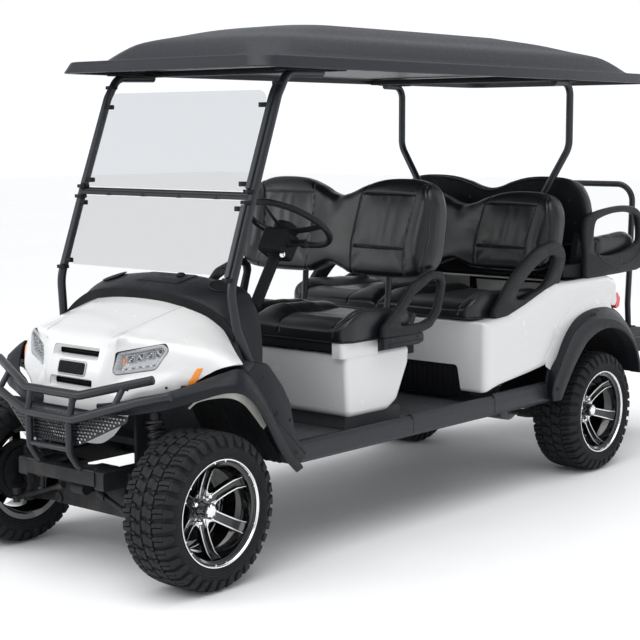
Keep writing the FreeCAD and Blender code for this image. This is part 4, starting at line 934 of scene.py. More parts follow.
# pockets around the slots: painted walls down to a dark opening with a fine grille
b = Bin()
for z0, z1, hx, w0, w1, wx in ((793, 838, 127, 802, 823, 113), (684, 724, 117, 694, 716, 102)):
    o = slot_outline(hx, z0, z1, 9)
    i_ = slot_outline(wx, w0, w1, 5)
    outer = [(x, nose_y(x, z, 0.6), z) for x, z in o]
    lipo = [(x * 0.993, nose_y(x, z, 5.0), (z - (z0 + z1) / 2) * 0.95 + (z0 + z1) / 2) for x, z in o]
    yb = max(p[1] for p in outer) + 15
    inner = [(x, yb, z) for x, z in i_]
    deep = [(x, yb + 26, z) for x, z in i_]
    far = [(x, yb + 27, z) for x, z in inset2(i_, 4)]
    b.rings([outer, lipo, inner], 0, False)
    b.rings([inner, deep, far], 1, False)
    b.add(far, [tuple(range(len(far)))], 1)
    zm = (w0 + w1) / 2
    for x in np.arange(-wx + 9, wx - 5, 8.0):
        b.box(x - 0.9, x + 0.9, yb + 9, yb + 12, w0 - 1, w1 + 1, 0, 0, 1)
    b.box(-wx - 1, wx + 1, yb + 7.5, yb + 10, zm - 1.2, zm + 1.2, 0, 0, 1)
b.make("front_cowl_slots", "chassis", [WHITE, PLASTIC_D], "white_body", 30, keep=False)

# plain badge plate: grey frame round a glossy blank face
b = Bin()
tilt_b = lambda z, o: -1437.5 + (z - 735) * 0.27 + o


def plate(hx, z0, z1, r, y_out, y_in, m, dome=0.0):
    o = slot_outline(hx, z0, z1, r)
    a = [(x, tilt_b(z, y_in), z) for x, z in o]
    c = [(x, tilt_b(z, y_out + 1.6), z) for x, z in o]
    e = [(x, tilt_b(z, y_out), z) for x, z in inset2(o, 2.2)]
    b.rings([a, c, e], m)


plate(78, 732, 786, 12, -3.4, 12, 0)
plate(73, 737, 781, 9, -4.8, -3, 1)
b.make("badge_plate", "chassis", [LAMP_GREY, BADGE], "black_plastic", 35)


# ------------------------------------------------------------ lamp units
def lamp(side, tag):
    b = Bin()
    o = lamp_outline()

    def lift(pts, dy):
        return [(side * x, lens_y(x, z) + dy, z) for x, z in pts]
    # dark gap, grey bezel ring, tray
    b.rings([[(side * x, nose_y(side * x, z, 3.0), z) for x, z in inset2(o, 0.3)], lift(inset2(o, 0.8), 6),
             lift(inset2(o, 3.0), 7)], 1, False)
    z_ = [lift(inset2(o, 2.0), 7), lift(inset2(o, 2.4), 1.5), lift(inset2(o, 4.4), 0.0), lift(inset2(o, 12), 1.5),
          lift(inset2(o, 14), 5.0), lift(inset2(o, 19), 24)]
    b.rings(z_, 0, False)
    q = lift(inset2(o, 18.5), 24)
    b.add(q, [tuple(range(len(q)))], 2)
    q = lift(inset2(o, 1), 30)
    b.rings([lift(inset2(o, 1.5), 9), q], 1, False)
    b.add(q, [tuple(range(len(q)))], 1)
    # four square light cells, each split in four facets round a bright core
    for k in range(4):
        t = (k + 0.5) / 4
        cx, cz = 232 + 131 * t, 801 + 34 * t
        y0 = lens_y(cx, cz) + 11
        w = 14.0

        def q4(x, z, dy):
            return (side * (cx + x), y0 + dy + 0.417 * x + 0.2 * z, cz + z + 0.22 * x)
        fr = rounded([(-w, -w), (w, -w), (w, w), (-w, w)], 3.5, True, 4)
        b.rings([[q4(x, z, 14) for x, z in fr], [q4(x, z, -3) for x, z in fr], [q4(x, z, -4) for x, z in inset2(fr, 1.6)],
                 [q4(x, z, 7) for x, z in inset2(fr, 3.4)]], 3, False)
        fl = [q4(x, z, 7) for x, z in inset2(fr, 3.2)]
        b.add(fl, [tuple(range(len(fl)))], 4)
        for sx in (-1, 1):
            for sz in (-1, 1):
                f = [(sx * 1.2, sz * 1.2), (sx * 10, sz * 1.2), (sx * 10, sz * 10), (sx * 1.2, sz * 10)]
                b.rings([[q4(x, z, 7) for x, z in f], [q4(x * 0.55 + sx * 2.6, z * 0.55 + sz * 2.6, -1.0 - 1.2 * sx) for x, z in f]], 4 if (sx * sz > 0) != (k % 2 == 0) else 5)
        c = q4(0, 0, 2)
        b.lathe([(-4, 0.01), (-3.2, 2.0), (-1.0, 3.4), (2.0, 3.9), (6, 3.9)], c, (side * -0.38, -0.9, -0.18), 14, 5, closed=False)
    # row of small lights
    for k in range(11):
        t = (k + 0.5) / 11
        cx, cz = 212 + 138 * t, 761 + 26 * t
        y0 = lens_y(cx, cz) + 16
        big = k % 2 == 0
        b.lathe([(4, 6.4), (-2, 6.0), (-3, 5.0), (1, 3.2), (1.6, 0.01)], (side * cx, y0, cz), (side * 0.38, 0.9, 0.18), 12,
                2 if big else 4, closed=False)
        b.lathe([(-2.5, 0.01), (-1.5, 1.6), (0.6, 2.1), (3, 2.1)], (side * cx, y0, cz), (side * 0.38, 0.9, 0.18), 10, 5, closed=False)
    # amber block at the inner end
    b.prism([(205, 778), (219, 779), (224, 806), (210, 804)], "y", -1376, -1366, 3, 1.2, 6,
            xf=lambda p: (side * p[0], p[1] + 0.3 * (p[0] - 200), p[2]))
    b.make("lamp_unit_" + tag, "chassis", [LAMP_GREY, PLASTIC_D, LAMP_TRAY, LAMP_GREY, LAMP_DARK, CHROME, AMBER],
           "lamp_lens", 32)
    # clear cover with a slight crown
    c = Bin()
    ring0 = inset2(o, 3.0)
    rg = []
    mid = ring0.mean(0)
    for f, dy in ((1.0, 2.5), (1.0, -0.6), (0.97, -1.8), (0.85, -3.0), (0.6, -4.2), (0.3, -4.8), (0.02, -5.0)):
        rg.append(lift(mid + (ring0 - mid) * f, dy))
    for f, dy in ((0.02, -2.6), (0.3, -2.4), (0.6, -1.8), (0.85, -0.6), (0.97, 1.6)):
        rg.append(lift(mid + (ring0 - mid) * f, dy + 0.4))
    c.rings(rg, 0, False)
    c.rings([rg[-1], rg[0]], 0, False)
    c.make("lamp_cover_" + tag, "chassis", LENS, "lamp_lens", 40)


lamp(1, "left")
lamp(-1, "right")
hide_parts("headlights")

# ------------------------------------------------------ marker on the nose
b = Bin()
eye = np.array([4365.6, -5108.5, 1622.5])
top, base = [], []
MARK = [(491, -1239, 783), (475, -1256, 781), (448, -1284, 715), (468, -1263, 716)]
for P in even(rounded([(0, 0), (1, 0), (1, 1), (0, 1)], 0.09, True, 4), 48, True):
    u_, v_ = P
    a_, b_, c_, d_ = (np.array(q) for q in MARK)
    P = (a_ * (1 - u_) + b_ * u_) * (1 - v_) + (d_ * (1 - u_) + c_ * u_) * v_
    v = P - eye
    v /= np.linalg.norm(v)
    q, n = hit(tree, tuple(eye + v * 3500), tuple(v))
    q = P if q is None or np.linalg.norm(np.array(q) - P) > 45 else np.array(q)
    top.append(q - v * 3.0)
    base.append(q + v * 4.0)
c = np.mean(top, axis=0)
b.rings([base, top, [c + (p - c) * 0.90 - v * 1.2 for p in top]], 0)
b.mirrored()
b.make("side_marker", "chassis", AMBER, "orange_lens", 30)

# ------------------------------------------------------------ front flares
FLARE = [
    ((150, -1430, 650), (150, -1446, 634), (156, -1444, 612)),
    ((264, -1414, 657), (290, -1432, 643), (290, -1430, 616)),
    ((338, -1376, 673), (372, -1402, 659), (372, -1404, 630)),
    ((414, -1347, 697), (440, -1380, 677), (442, -1382, 646)),
    ((476, -1298, 722), (498, -1342, 695), (502, -1342, 665)),
    ((524, -1253, 746), (552, -1300, 714), (558, -1298, 688)),
    ((568, -1209, 767), (602, -1252, 729), (608, -1252, 706)),
    ((597, -1170, 779), (634, -1202, 728), (640, -1206, 703)),
    ((600, -1125, 762), (641, -1148, 704), (648, -1156, 674)),
    ((602, -1080, 718), (641, -1096, 660), (648, -1108, 624)),
    ((604, -1036, 655), (641, -1048, 596), (648, -1064, 562)),
    ((606, -990, 580), (641, -1000, 520), (647, -1020, 494)),
    ((606, -942, 505), (640, -950, 454), (645, -972, 430)),
    ((604, -900, 442), (638, -904, 404), (640, -930, 392)),
    ((602, -866, 400), (634, -864, 376), (634, -896, 366)),
]


def lerp(p, q, t):
    return tuple(np.array(p, float) * (1 - t) + np.array(q, float) * t)


us = np.linspace(0, len(FLARE) - 1, 113)
up_l = smooth_line([f[0] for f in FLARE], 113)
ri_l = smooth_line([f[1] for f in FLARE], 113)
li_l = smooth_line([f[2] for f in FLARE], 113)
grid = []
for a, c, e in zip(up_l, ri_l, li_l):
    row = [a + (0, 0, -3), a]
    for t in (0.25, 0.5, 0.75, 0.93):
        q = a * (1 - t) + c * t
        row.append(q + np.array([1.5, 0, 3.5]) * math.sin(math.pi * t))
    # rolled ridge, face and turned-in lip
    row += [c * 0.985 + a * 0.015 + (0.0, 0, 0.6), c * 0.86 + e * 0.14, c * 0.5 + e * 0.5, e * 0.95 + c * 0.05, e]
    inward = np.array([-0.5, 0.2, 0.35])
    row += [e + inward * 5 - (0, 0, 1.5), e + inward * 16 - (0, 0, 2.5)]
    grid.append(row)
b = Bin()
b.shell(np.array(grid), 3.0)
# leg panel behind the arch
leg = [(-1128, 690), (-1132, 770), (-1090, 800), (-1020, 785), (-944, 698), (-900, 628), (-879, 530),
       (-845, 457), (-806, 420), (-846, 380), (-905, 392), (-955, 440), (-1000, 505), (-1050, 582), (-1092, 650)]
b.prism(leg, "x", 500, 612, [10, 20, 20, 40, 30, 40, 60, 30, 10, 20, 20, 30, 40, 40, 30], 13)
# liner over the wheel, with stiffening ribs
la = [(-1440, 690), (-1385, 702), (-1283, 712), (-1204, 705), (-1134, 668), (-1083, 604), (-1030, 514), (-975, 440), (-950, 404)]
lb = [(-1440, 698), (-1385, 710), (-1283, 720), (-1200, 713), (-1128, 675), (-1076, 609), (-1023, 519), (-968, 444), (-943, 404)]
la = smooth_line([(0, *p) for p in la], 40)[:, 1:]
lb = smooth_line([(0, *p) for p in lb], 40)[:, 1:]
def trimmed(q, y0):
    k = q[:, 0] >= y0
    z0 = np.interp(y0, q[:, 0], q[:, 1])
    return np.vstack([[(y0, z0)], q[k]])


for x0, x1, y0 in ((262, 325, -1372), (325, 400, -1335), (400, 460, -1297), (460, 508, -1250), (508, 550, -1207), (550, 582, -1168),
                   (582, 604, -1115)):
    b.prism(np.vstack([trimmed(la, y0), trimmed(lb, y0)[::-1]]), "x", x0, x1, 0.0, 0.0, 1)
    xm = (x0 + x1) / 2
    b.prism(np.vstack([trimmed(la, y0) - (0, 1.5), (trimmed(la, y0) + (0, 3))[::-1]]), "x", xm - 7, xm + 7, 0.0, 1.0, 1)
b.mirrored()
b.make("front_flares", "chassis", [PLASTIC, PLASTIC_D], "black_plastic", 34, nodes=["front_fenders"])
# bolts and recess on the leg, pale inner flange of the body in the arch
b = Bin()
b.lathe([(0, 0.01), (0, 12), (1.6, 11), (1.0, 8), (-2, 7.4), (-2, 0.01)], (612, -985, 595), (1, 0, 0), 28, 0)
b.bolt((611.5, -985, 595), (1, 0, 0), 4.6, 3.2, 1)
for y, z in ((-905, 560), (-1050, 742), (-870, 430)):
    b.bolt((612, y, z), (1, 0, 0), 4.6, 3.2, 1)
fo = smooth_line([(475, -1303, 645), (495, -1286, 668), (546, -1245, 691), (600, -1197, 707), (600, -1117, 677), (600, -1056, 615), (600, -1026, 560)], 60)
fi = smooth_line([(478, -1301, 640), (501, -1282, 664), (552, -1241, 679), (597, -1206, 679), (600, -1146, 650), (600, -1086, 592), (600, -1046, 545)], 60)
rg = []
for p, q in zip(fo, fi):
    rg.append([(p[0] + 6, p[1], p[2]), (p[0] + 2, p[1], p[2]), (q[0], q[1], q[2]), (q[0] + 4, q[1], q[2])])
b.rings(rg, 2)
b.mirrored()
b.make("flare_fixings", "chassis", [PLASTIC, STEEL, CREAM], "black_plastic", 34)

# -------------------------------------------------------------- brush guard
UP = [(430, -1430, 755), (150, -1528, 683), (-150, -1528, 683), (-430, -1430, 755)]
LO = [(560, -1470, 716), (440, -1500, 690), (136, -1547, 596), (-136, -1547, 596), (-440, -1500, 690), (-560, -1470, 716)]
b = Bin()
b.tube(UP, 16.5, [0, 46, 46, 0], n=20, seg=8, soft=3)
b.tube(LO, 16.5, [0, 40, 44, 44, 40, 0], n=20, seg=8, soft=3)
for s in (-1, 1):
    b.tube([(s * 118, -1528, 683), (s * 118, -1547, 596)], 12.5, n=16)
    b.tube([(s * 112, -1547, 594), (s * 112, -1545, 470), (s * 112, -1500, 408), (s * 150, -1400, 396)], 14, [0, 50, 50, 0], n=16, seg=8)
    b.tube([(s * 320, -1466, 725), (s * 320, -1519, 655)], 11.5, n=16)
    b.box(min(s * 100, s * 190), max(s * 100, s * 190), -1500, -1380, 386, 406, 2)
    # weld beads round the joints
    for p, q, r in (((118, -1529.5, 670), (118, -1532, 662), 14.6), ((118, -1543, 614), (118, -1545, 606), 14.6),
                    ((330, -1466, 722), (330, -1470, 717), 13.4), ((330, -1513, 665), (330, -1517, 660), 13.4),
                    ((112, -1546.8, 579), (112, -1546.6, 573), 16.0)):
        b.tube([(s * p[0], p[1], p[2]), (s * q[0], q[1], q[2])], r, n=18, soft=1.5)
    for x in (120, 165):
        b.bolt((s * x, -1470, 406), (0, 0, 1), 6.5, 5, 1)
b.tube([(-112, -1545, 482), (112, -1545, 482)], 10.5, n=16)
b.make("brush_guard", "chassis", [PIPE, STEEL], "black_steel", 38, nodes=["front_bumper"])

# perforated plate: a staggered field of round holes
cu = bpy.data.curves.new("mesh_plate", "CURVE")
cu.dimensions = "2D"
cu.fill_mode = "BOTH"
cu.extrude = 0.001


def ring2(pts):
    sp = cu.splines.new("POLY")
    sp.points.add(len(pts) - 1)
    for pnt, (x, z) in zip(sp.points, pts):
        pnt.co = (x / 1000, z / 1000, 0, 1)
    sp.use_cyclic_u = True


edge = rounded([(-340, 620), (-340, 598), (-140, 498), (140, 498), (340, 598), (340, 620)], [8, 20, 30, 30, 20, 8], True, 5)
ring2(edge)
row = 0
z = 510.0
while z < 614:
    x = -332 + (7 if row % 2 else 0)
    while x < 334:
        half = 140 + (z - 498) * 2.0
        if abs(x) < half - 16 and abs(abs(x) - 112) > 19:
            ring2([(x + 4.4 * math.cos(t), z + 4.4 * math.sin(t)) for t in np.linspace(0, 2 * math.pi, 10, endpoint=False)])
        x += 14.0
    z += 12.0
    row += 1
tmp = bpy.data.objects.new("tmp_plate", cu)
scene.collection.objects.link(tmp)
bpy.context.view_layer.update()
dg = bpy.context.evaluated_depsgraph_get()
me = bpy.data.meshes.new_from_object(tmp.evaluated_get(dg), depsgraph=dg)
bpy.data.objects.remove(tmp)
for v in me.vertices:
    x, zz, t = v.co
    v.co = (x, (-1528 - Y_MID) / 1000 - t + max(0.0, abs(x) - 0.130) * 0.285, zz)
bm = bmesh.new()
bm.from_mesh(me)
bmesh.ops.remove_doubles(bm, verts=bm.verts, dist=1e-5)
bmesh.ops.recalc_face_normals(bm, faces=bm.faces)
bm.to_mesh(me)
bm.free()
me.name = "guard_plate"
me.materials.clear()
me.materials.append(PIPE)
ob = bpy.data.objects.new("guard_plate", me)
scene.collection.objects.link(ob)
shade(ob, 30)
dress(ob, "chassis", ["bumper_mesh"])

# ------------------------------------------------------------------- seats
# Each pad is shaped in its own space (a across, b along, c outwards; mm), puffed
# up as cloth, then laid in place.
BACK = [(510, 34), (548, 92), (551, 200), (540, 305), (500, 380), (430, 414), (330, 423), (225, 416), (130, 388), (62, 358),
        (0, 346), (-62, 358), (-130, 388), (-225, 416), (-330, 423), (-430, 414), (-500, 380), (-540, 305), (-551, 200),
        (-548, 92), (-510, 34), (-420, 8), (-136, 8), (-70, 26), (0, 48), (70, 26), (136, 8), (420, 8)]


def closed_smooth(pts, n):
    p = [np.array(q, float) for q in pts]
    k = len(p)
    out = []
    for i in range(k):
        a, b_, c, e = p[i - 1], p[i], p[(i + 1) % k], p[(i + 2) % k]
        for t in np.linspace(0, 1, 13)[:-1]:
            out.append(0.5 * ((2 * b_) + (c - a) * t + (2 * a - 5 * b_ + 4 * c - e) * t ** 2 + (3 * b_ - a - 3 * c + e) * t ** 3))
    return even(out, n, True)


def seg_dist(P, lines):
    """Distance of 2-D points to a set of polylines."""
    best = np.full(len(P), 1e9)
    for ln in lines:
        ln = np.array(ln, float)
        for p, q in zip(ln, ln[1:]):
            v = q - p
            t = np.clip(((P - p) @ v) / max(v @ v, 1e-9), 0, 1)
            best = np.minimum(best, np.linalg.norm(P - (p + t[:, None] * v), axis=1))
    return best


def mirror_lines(lines):
    return [list(l) for l in lines] + [[(-a, b_) for a, b_ in l] for l in lines]


def pad_base(outline, T, R, Rb, lift, seams, flat, cap, voxel, target):
    """The finished pad in its own space: vertices (mm) and triangles."""
    b = Bin()
    lv = [(0.0, Rb), (0.3 * Rb, 0.3 * Rb), (Rb, 0.0)]
    lv += [(T - R + R * math.sin(t), R * (1 - math.cos(t))) for t in np.linspace(0, math.pi / 2, 8)]
    b.rings([[(p[0], p[1], c) for p in inset2(outline, i_)] for c, i_ in lv])
    me = bpy.data.meshes.new("pad")
    me.from_pydata((np.array(b.v) / 1000).tolist(), [], b.f)
    ob = bpy.data.objects.new("pad_tmp", me)
    scene.collection.objects.link(ob)
    md = ob.modifiers.new("r", "REMESH")
    md.mode = "VOXEL"
    md.voxel_size = voxel / 1000
    apply(ob)
    me = ob.data
    co = np.empty(len(me.vertices) * 3)
    me.vertices.foreach_get("co", co)
    co = co.reshape(-1, 3) * 1000
    co = lift(co, T)
    me.vertices.foreach_set("co", (co / 1000).ravel())
    me.update()
    nv = len(co)
    g = ob.vertex_groups.new(name="hold")
    dseam = seg_dist(co[:, :2], seams)
    hold = (dseam < voxel * 0.62) | (co[:, 2] < flat)
    g.add([int(i) for i in np.nonzero(hold)[0]], 1.0, "REPLACE")
    cl = ob.modifiers.new("cloth", "CLOTH")
    st = cl.settings
    st.quality = 5
    st.mass = 0.3
    st.tension_stiffness = st.compression_stiffness = 24
    st.shear_stiffness = 10
    st.bending_stiffness = 8.0
    st.use_pressure = True
    st.uniform_pressure_force = 4.0
    st.vertex_group_mass = "hold"
    st.effector_weights.gravity = 0.0
    cl.collision_settings.use_collision = False
    cl.collision_settings.use_self_collision = False
    cl.point_cache.frame_start, cl.point_cache.frame_end = 1, 20
    for fr in range(1, 21):
        scene.frame_set(fr)
    dg = bpy.context.evaluated_depsgraph_get()
    ev = ob.evaluated_get(dg)
    m2 = ev.to_mesh()
    c2 = np.empty(nv * 3)
    m2.vertices.foreach_get("co", c2)
    ev.to_mesh_clear()
    c2 = c2.reshape(-1, 3) * 1000
    ob.modifiers.clear()
    scene.frame_set(1)
    dv = c2 - co
    ln = np.linalg.norm(dv, axis=1)
    ln[~np.isfinite(ln)] = 0
    print("PUFF", round(float(ln.max()), 1), round(float(ln.mean()), 1), nv)
    k = np.where(ln > 1e-6, cap * np.tanh(ln / cap) / np.maximum(ln, 1e-6), 0.0)
    co = co + np.nan_to_num(dv) * k[:, None]
    me.vertices.foreach_set("co", (co / 1000).ravel())
    me.update()
    sb = ob.modifiers.new("s", "SUBSURF")
    sb.levels = sb.render_levels = 1
    sb.subdivision_type = "CATMULL_CLARK"
    apply(ob)
    me = ob.data
    n = len(me.vertices)
    co = np.empty(n * 3)
    me.vertices.foreach_get("co", co)
    co = co.reshape(-1, 3) * 1000
    no = np.empty(n * 3)
    me.vertex_normals.foreach_get("vector", no)
    no = no.reshape(-1, 3)
    ds = seg_dist(co[:, :2], seams)
    w = np.clip((co[:, 2] - flat) / 10, 0, 1)
    # stitched channel with small gathers either side
    s_ = co[:, 0] * 0.13 + co[:, 1] * 0.17
    h = -4.2 * np.exp(-(ds / 3.4) ** 2) + 0.35 * np.exp(-((ds - 11) / 6) ** 2) * np.sin(s_ * 2.1) * np.sin(s_ * 0.77 + 1)
    # slow unevenness of the stuffing
    h += 0.8 * np.sin(co[:, 0] * 0.021 + 1.3) * np.sin(co[:, 1] * 0.027 + 0.4) * np.clip(ds / 30, 0, 1)
    co = co + no * (h * w)[:, None]
    me.vertices.foreach_set("co", (co / 1000).ravel())
    me.update()
    tris = sum(len(p.vertices) - 2 for p in me.polygons)
    dc = ob.modifiers.new("d", "DECIMATE")
    dc.ratio = min(1.0, target / tris)
    apply(ob)
    me = ob.data
    co = np.array([tuple(v.co) for v in me.vertices]) * 1000
    fc = [tuple(p.vertices) for p in me.polygons]
    bvh = BVHTree.FromPolygons([Vector(c) for c in co / 1000], fc)
    bpy.data.objects.remove(ob)
    return co, fc, bvh


def on_pad(bvh, a, b_, lift=0.0, top=400.0):
    q, n, _, _ = bvh.ray_cast(Vector((a / 1000, b_ / 1000, top / 1000)), Vector((0, 0, -1)))
    return None if q is None else np.array([q.x, q.y, q.z]) * 1000 + np.array(n) * lift


def lay(name, base, body, nodes, place, pipes, fill, skin=VINYL):
    co, fc, bvh = base
    b = Bin()
    b.add(place(co), fc)
    ob = b.make(name, body, skin, "black_vinyl", 60, weld=0.02, nodes=nodes)
    s = Bin()
    for line, r, lf in pipes:
        pts = [on_pad(bvh, a, b_, lf) for a, b_ in even(line, max(6, int(np.sum(np.linalg.norm(np.diff(np.array(line, float), axis=0), axis=1)) / 9)))]
        pts = [p for p in pts if p is not None]
        if len(pts) > 3:
            q = place(np.array(pts))
            q[1:-1] = (q[:-2] + 2 * q[1:-1] + q[2:]) / 4
            s.tube(q, r, n=6, soft=r * 0.5)
    if s.v:
        s.make(name + "_piping", body, PIPING, "black_vinyl", 60)
    return ob


B_IN = [(158, 392), (138, 346), (124, 230), (121, 144), (128, 60), (132, 8)]
B_OUT = [(462, 402), (430, 359), (412, 250), (405, 168), (410, 80), (418, 8)]
B_TOP = [(141, 356), (280, 357), (427, 355)]
B_LOW = [(122, 131), (260, 128), (404, 128)]
B_EDGE = [(478, 388), (500, 345), (516, 262), (521, 180), (517, 100), (500, 44)]
B_SEAMS = mirror_lines([B_IN, B_OUT, B_TOP, B_LOW, B_EDGE])


def back_lift(co, T):
    a, b_, c = np.abs(co[:, 0]), co[:, 1], co[:, 2]
    w = np.clip((c - 26) / (T - 40), 0, 1)
    inn = np.interp(b_, [8, 144, 346, 392], [130, 121, 138, 158])
    out = np.interp(b_, [8, 168, 359, 402], [418, 405, 430, 462])
    t = np.clip((a - inn) / (out - inn), 0, 1)
    panel = -10 * np.sin(math.pi * t) ** 0.7 * np.clip(b_ / 80, 0, 1)
    bol = 20 * np.exp(-((a - (out + 58)) / 42) ** 2) * np.clip((b_ - 10) / 90, 0.2, 1) * (1 - 0.4 * np.clip((b_ - 330) / 80, 0, 1))
    cen = 5 * np.exp(-(a / 70) ** 2) - 9 * np.exp(-(a / 26) ** 2) * np.clip((b_ - 250) / 90, 0, 1)
    lumbar = 9 * np.exp(-((b_ - 110) / 80) ** 2) * (a < out)
    top = -7 * np.clip((b_ - 357) / 60, 0, 1)
    co = co.copy()
    co[:, 2] = c + w * (panel + bol + cen + lumbar + top)
    return co


BACK_PAD = pad_base(closed_smooth(BACK, 260), 88.0, 30.0, 12.0, back_lift, B_SEAMS, 30.0, 12.0, 8.5, 46000)

CUSH = rounded([(-530, 0), (530, 0), (530, 452), (-530, 452)], 58, True, 12)
C_IN = [(170, -4), (166, 60), (152, 165), (142, 300), (138, 456)]
C_OUT = [(458, -4), (450, 60), (420, 165), (402, 300), (396, 456)]
C_MID = [(152, 165), (290, 172), (420, 165)]
C_EDGE = [(470, 16), (506, 40), (515, 90), (515, 440)]
C_SEAMS = mirror_lines([C_IN, C_OUT, C_MID, C_EDGE]) + [[(0, -4), (0, 456)]]


def cush_lift(co, T):
    a, b_, c = np.abs(co[:, 0]), co[:, 1], co[:, 2]
    base = np.interp(b_, [0, 40, 100, 140, 165, 200, 260, 340, 452], [62, 78, 90, 90, 85, 82, 78, 77, 84])
    inn = np.interp(b_, [0, 165, 452], [170, 152, 138])
    out = np.interp(b_, [0, 165, 452], [458, 420, 396])
    amp_i = np.interp(b_, [0, 30, 80, 180, 300, 400, 452], [4, 16, 32, 42, 44, 34, 22])
    amp_o = np.interp(b_, [0, 30, 80, 180, 300, 400, 452], [6, 20, 36, 44, 42, 30, 18])
    ti = np.clip(a / inn, 0, 1)
    to = np.clip((a - out) / (505 - out), 0, 1)
    t = np.clip((a - inn) / (out - inn), 0, 1)
    top = base + amp_i * np.sin(math.pi * np.clip(ti * 0.93 + 0.04, 0, 1)) ** 0.85 + amp_o * np.sin(math.pi / 2 * to) ** 1.2
    top = top - 5 * np.sin(math.pi * t) * np.clip((b_ - 165) / 60, 0, 1)
    top = top - 12 * np.exp(-(a / 16) ** 2)
    co = co.copy()
    co[:, 2] = np.where(c > 10, 10 + (c - 10) * (top - 10) / (T - 10), c)
    return co


CUSH_PAD = pad_base(even(CUSH, 260, True), 76.0, 24.0, 8.0, cush_lift, C_SEAMS, 22.0, 12.0, 8.5, 50000)


def stretch(b_, a0, full, keep=200.0, n0=452.0):
    return np.where(b_ < keep, b_, keep + (b_ - keep) * (full - keep) / (n0 - keep)) + a0


def at_front(co):
    return np.stack([co[:, 0], -486 + co[:, 1], 788 + co[:, 2] * 0.97], 1)


def at_middle(co):
    return np.stack([co[:, 0], stretch(co[:, 1], 366, 588), 806.5 + co[:, 2] * 0.86], 1)


def at_rear(co):
    return np.stack([co[:, 0], 1806 - co[:, 1] * 0.894, 1013 + co[:, 2] * 0.84], 1)


def back_front(co):
    b_ = co[:, 1]
    return np.stack([co[:, 0], 24 + 0.208 * b_ + (88 - co[:, 2]), 1002 + b_ + 0.2 * (co[:, 2] - 88) * 0.4], 1)


def back_middle(co):
    b_ = co[:, 1] * 0.879
    return np.stack([co[:, 0], 952 + 0.2688 * b_ + (88 - co[:, 2]), 966 + b_], 1)


def back_rear(co):
    b_ = co[:, 1] * 0.801
    return np.stack([co[:, 0], 1384 - 0.2065 * b_ - (88 - co[:, 2]) * 0.62, 1066 + b_], 1)


def both_lines(*ls):
    return [(l, r, f) for line, r, f in ls for l in (line, [(-a, b_) for a, b_ in line])]


bp = both_lines((B_TOP, 1.8, 0.4), (B_LOW, 1.5, 0.2), (B_EDGE, 1.9, 0.6))
cp = both_lines((C_EDGE, 1.9, 0.4))
lay("front_seat_cushion_pad", CUSH_PAD, "front_seat_lid", ["front_seat_cushion"], at_front, cp, 0.9)
lay("middle_seat_cushion_pad", CUSH_PAD, "middle_seat_lid", ["middle_seat_cushion"], at_middle, cp, 0.9)
lay("rear_seat_cushion_pad", CUSH_PAD, "rear_flip_seat", ["rear_seat_cushion"], at_rear, cp, 0.9)
lay("front_seat_backrest_pad", BACK_PAD, "chassis", ["front_seat_backrest"], back_front, bp, 0.9)
lay("middle_seat_backrest_pad", BACK_PAD, "chassis", ["middle_seat_backrest"], back_middle, bp, 0.9)
lay("rear_seat_backrest_pad", BACK_PAD, "chassis", ["rear_seat_backrest"], back_rear, bp, 0.9)


def ring_piping(b, outline, place, c, r=2.6, m=0):
    pts = np.array([(p[0], p[1], c) for p in outline])
    q = place(pts)
    sec = [(r * math.cos(t), r * math.sin(t)) for t in np.linspace(0, 2 * math.pi, 8, endpoint=False)]
    b.sweep(q, sec, True, (0, 0, 1.0), None, m)


# lower edge piping, skirt and pan under each cushion
for tag, body, place, z0, z1, hx, y0, y1 in (
        ("front_seat_skirt", "front_seat_lid", at_front, 751, 789, 505, -480, -40),
        ("middle_seat_skirt", "middle_seat_lid", at_middle, 806, 809, 520, 372, 948),
        ("rear_seat_skirt", "rear_flip_seat", at_rear, 1012.5, 1016, 520, 1408, 1800)):
    b = Bin()
    ring_piping(b, even(rounded([(-532, -2), (532, -2), (532, 454), (-532, 454)], 58, True, 12), 240, True), place, 5.0)
    b.box(-hx, hx, y0, y1, z0, z1, 3, 40, 1)
    if z1 - z0 > 20:
        b.box(-470, 470, y0 - 2.5, y0 + 2, z0 + 5, z1 - 9, 1, 3, 1)
        for x in (-420, -230, 0, 230, 420):
            b.bolt((x, y0 - 2.5, 764), (0, -1, 0), 2.6, 1.6, 1, False)
    b.make(tag, body, [PIPING, PLASTIC_D], "black_vinyl", 40)


# moulded shells behind the backrests
def shell_behind(name, place, c0, c1, ins, bolts, m):
    b = Bin()
    o = closed_smooth(BACK, 220)
    lv = [(c0, ins + 3), (c0 + 1.0, ins + 0.8), (c0 + 4.0, ins), (c1, ins)]
    b.rings([place(np.array([(p[0], p[1], c) for p in inset2(o, i_)])) for c, i_ in lv], 0)
    ring_piping(b, inset2(o, ins + 9), place, c0 - 0.2, 3.0, 0)
    q = place(np.array([(0, 200, c0), (0, 200, c0 - 10)]))
    nr = (q[1] - q[0]) / np.linalg.norm(q[1] - q[0])
    for x, z in bolts:
        for s in (-1, 1):
            p = place(np.array([(s * x, z, c0)]))[0]
            b.bolt(p, nr, 5.0, 2.4, 1, False)
    b.make(name, "chassis", [m, STEEL], "black_plastic", 34)


shell_behind("rear_seat_shell", back_rear, -14, 9, 11, [(455, 285), (478, 150), (120, 285), (120, 120)], PLASTIC_D)
shell_behind("front_seat_shell", back_front, -7, 9, 16, [(430, 290), (430, 90), (200, 200)], PLASTIC_D)
shell_behind("middle_seat_shell", back_middle, -7, 9, 16, [(430, 290), (430, 90), (200, 200)], PLASTIC_D)

# -------------------------------------------------------------------- roof
ROOF_HALF, ROOF_Y0, ROOF_Y1, ROOF_Z0 = 566.0, -1006.0, 1934.0, 1856.0
DOME = [(24, 50, 0, 0), (81, 54, 56, 41), (120, 92, 58, 44), (162, 123, 62, 52),
        (245, 150, 80, 80), (320, 178, 150, 170), (400, 202, 300, 380)]


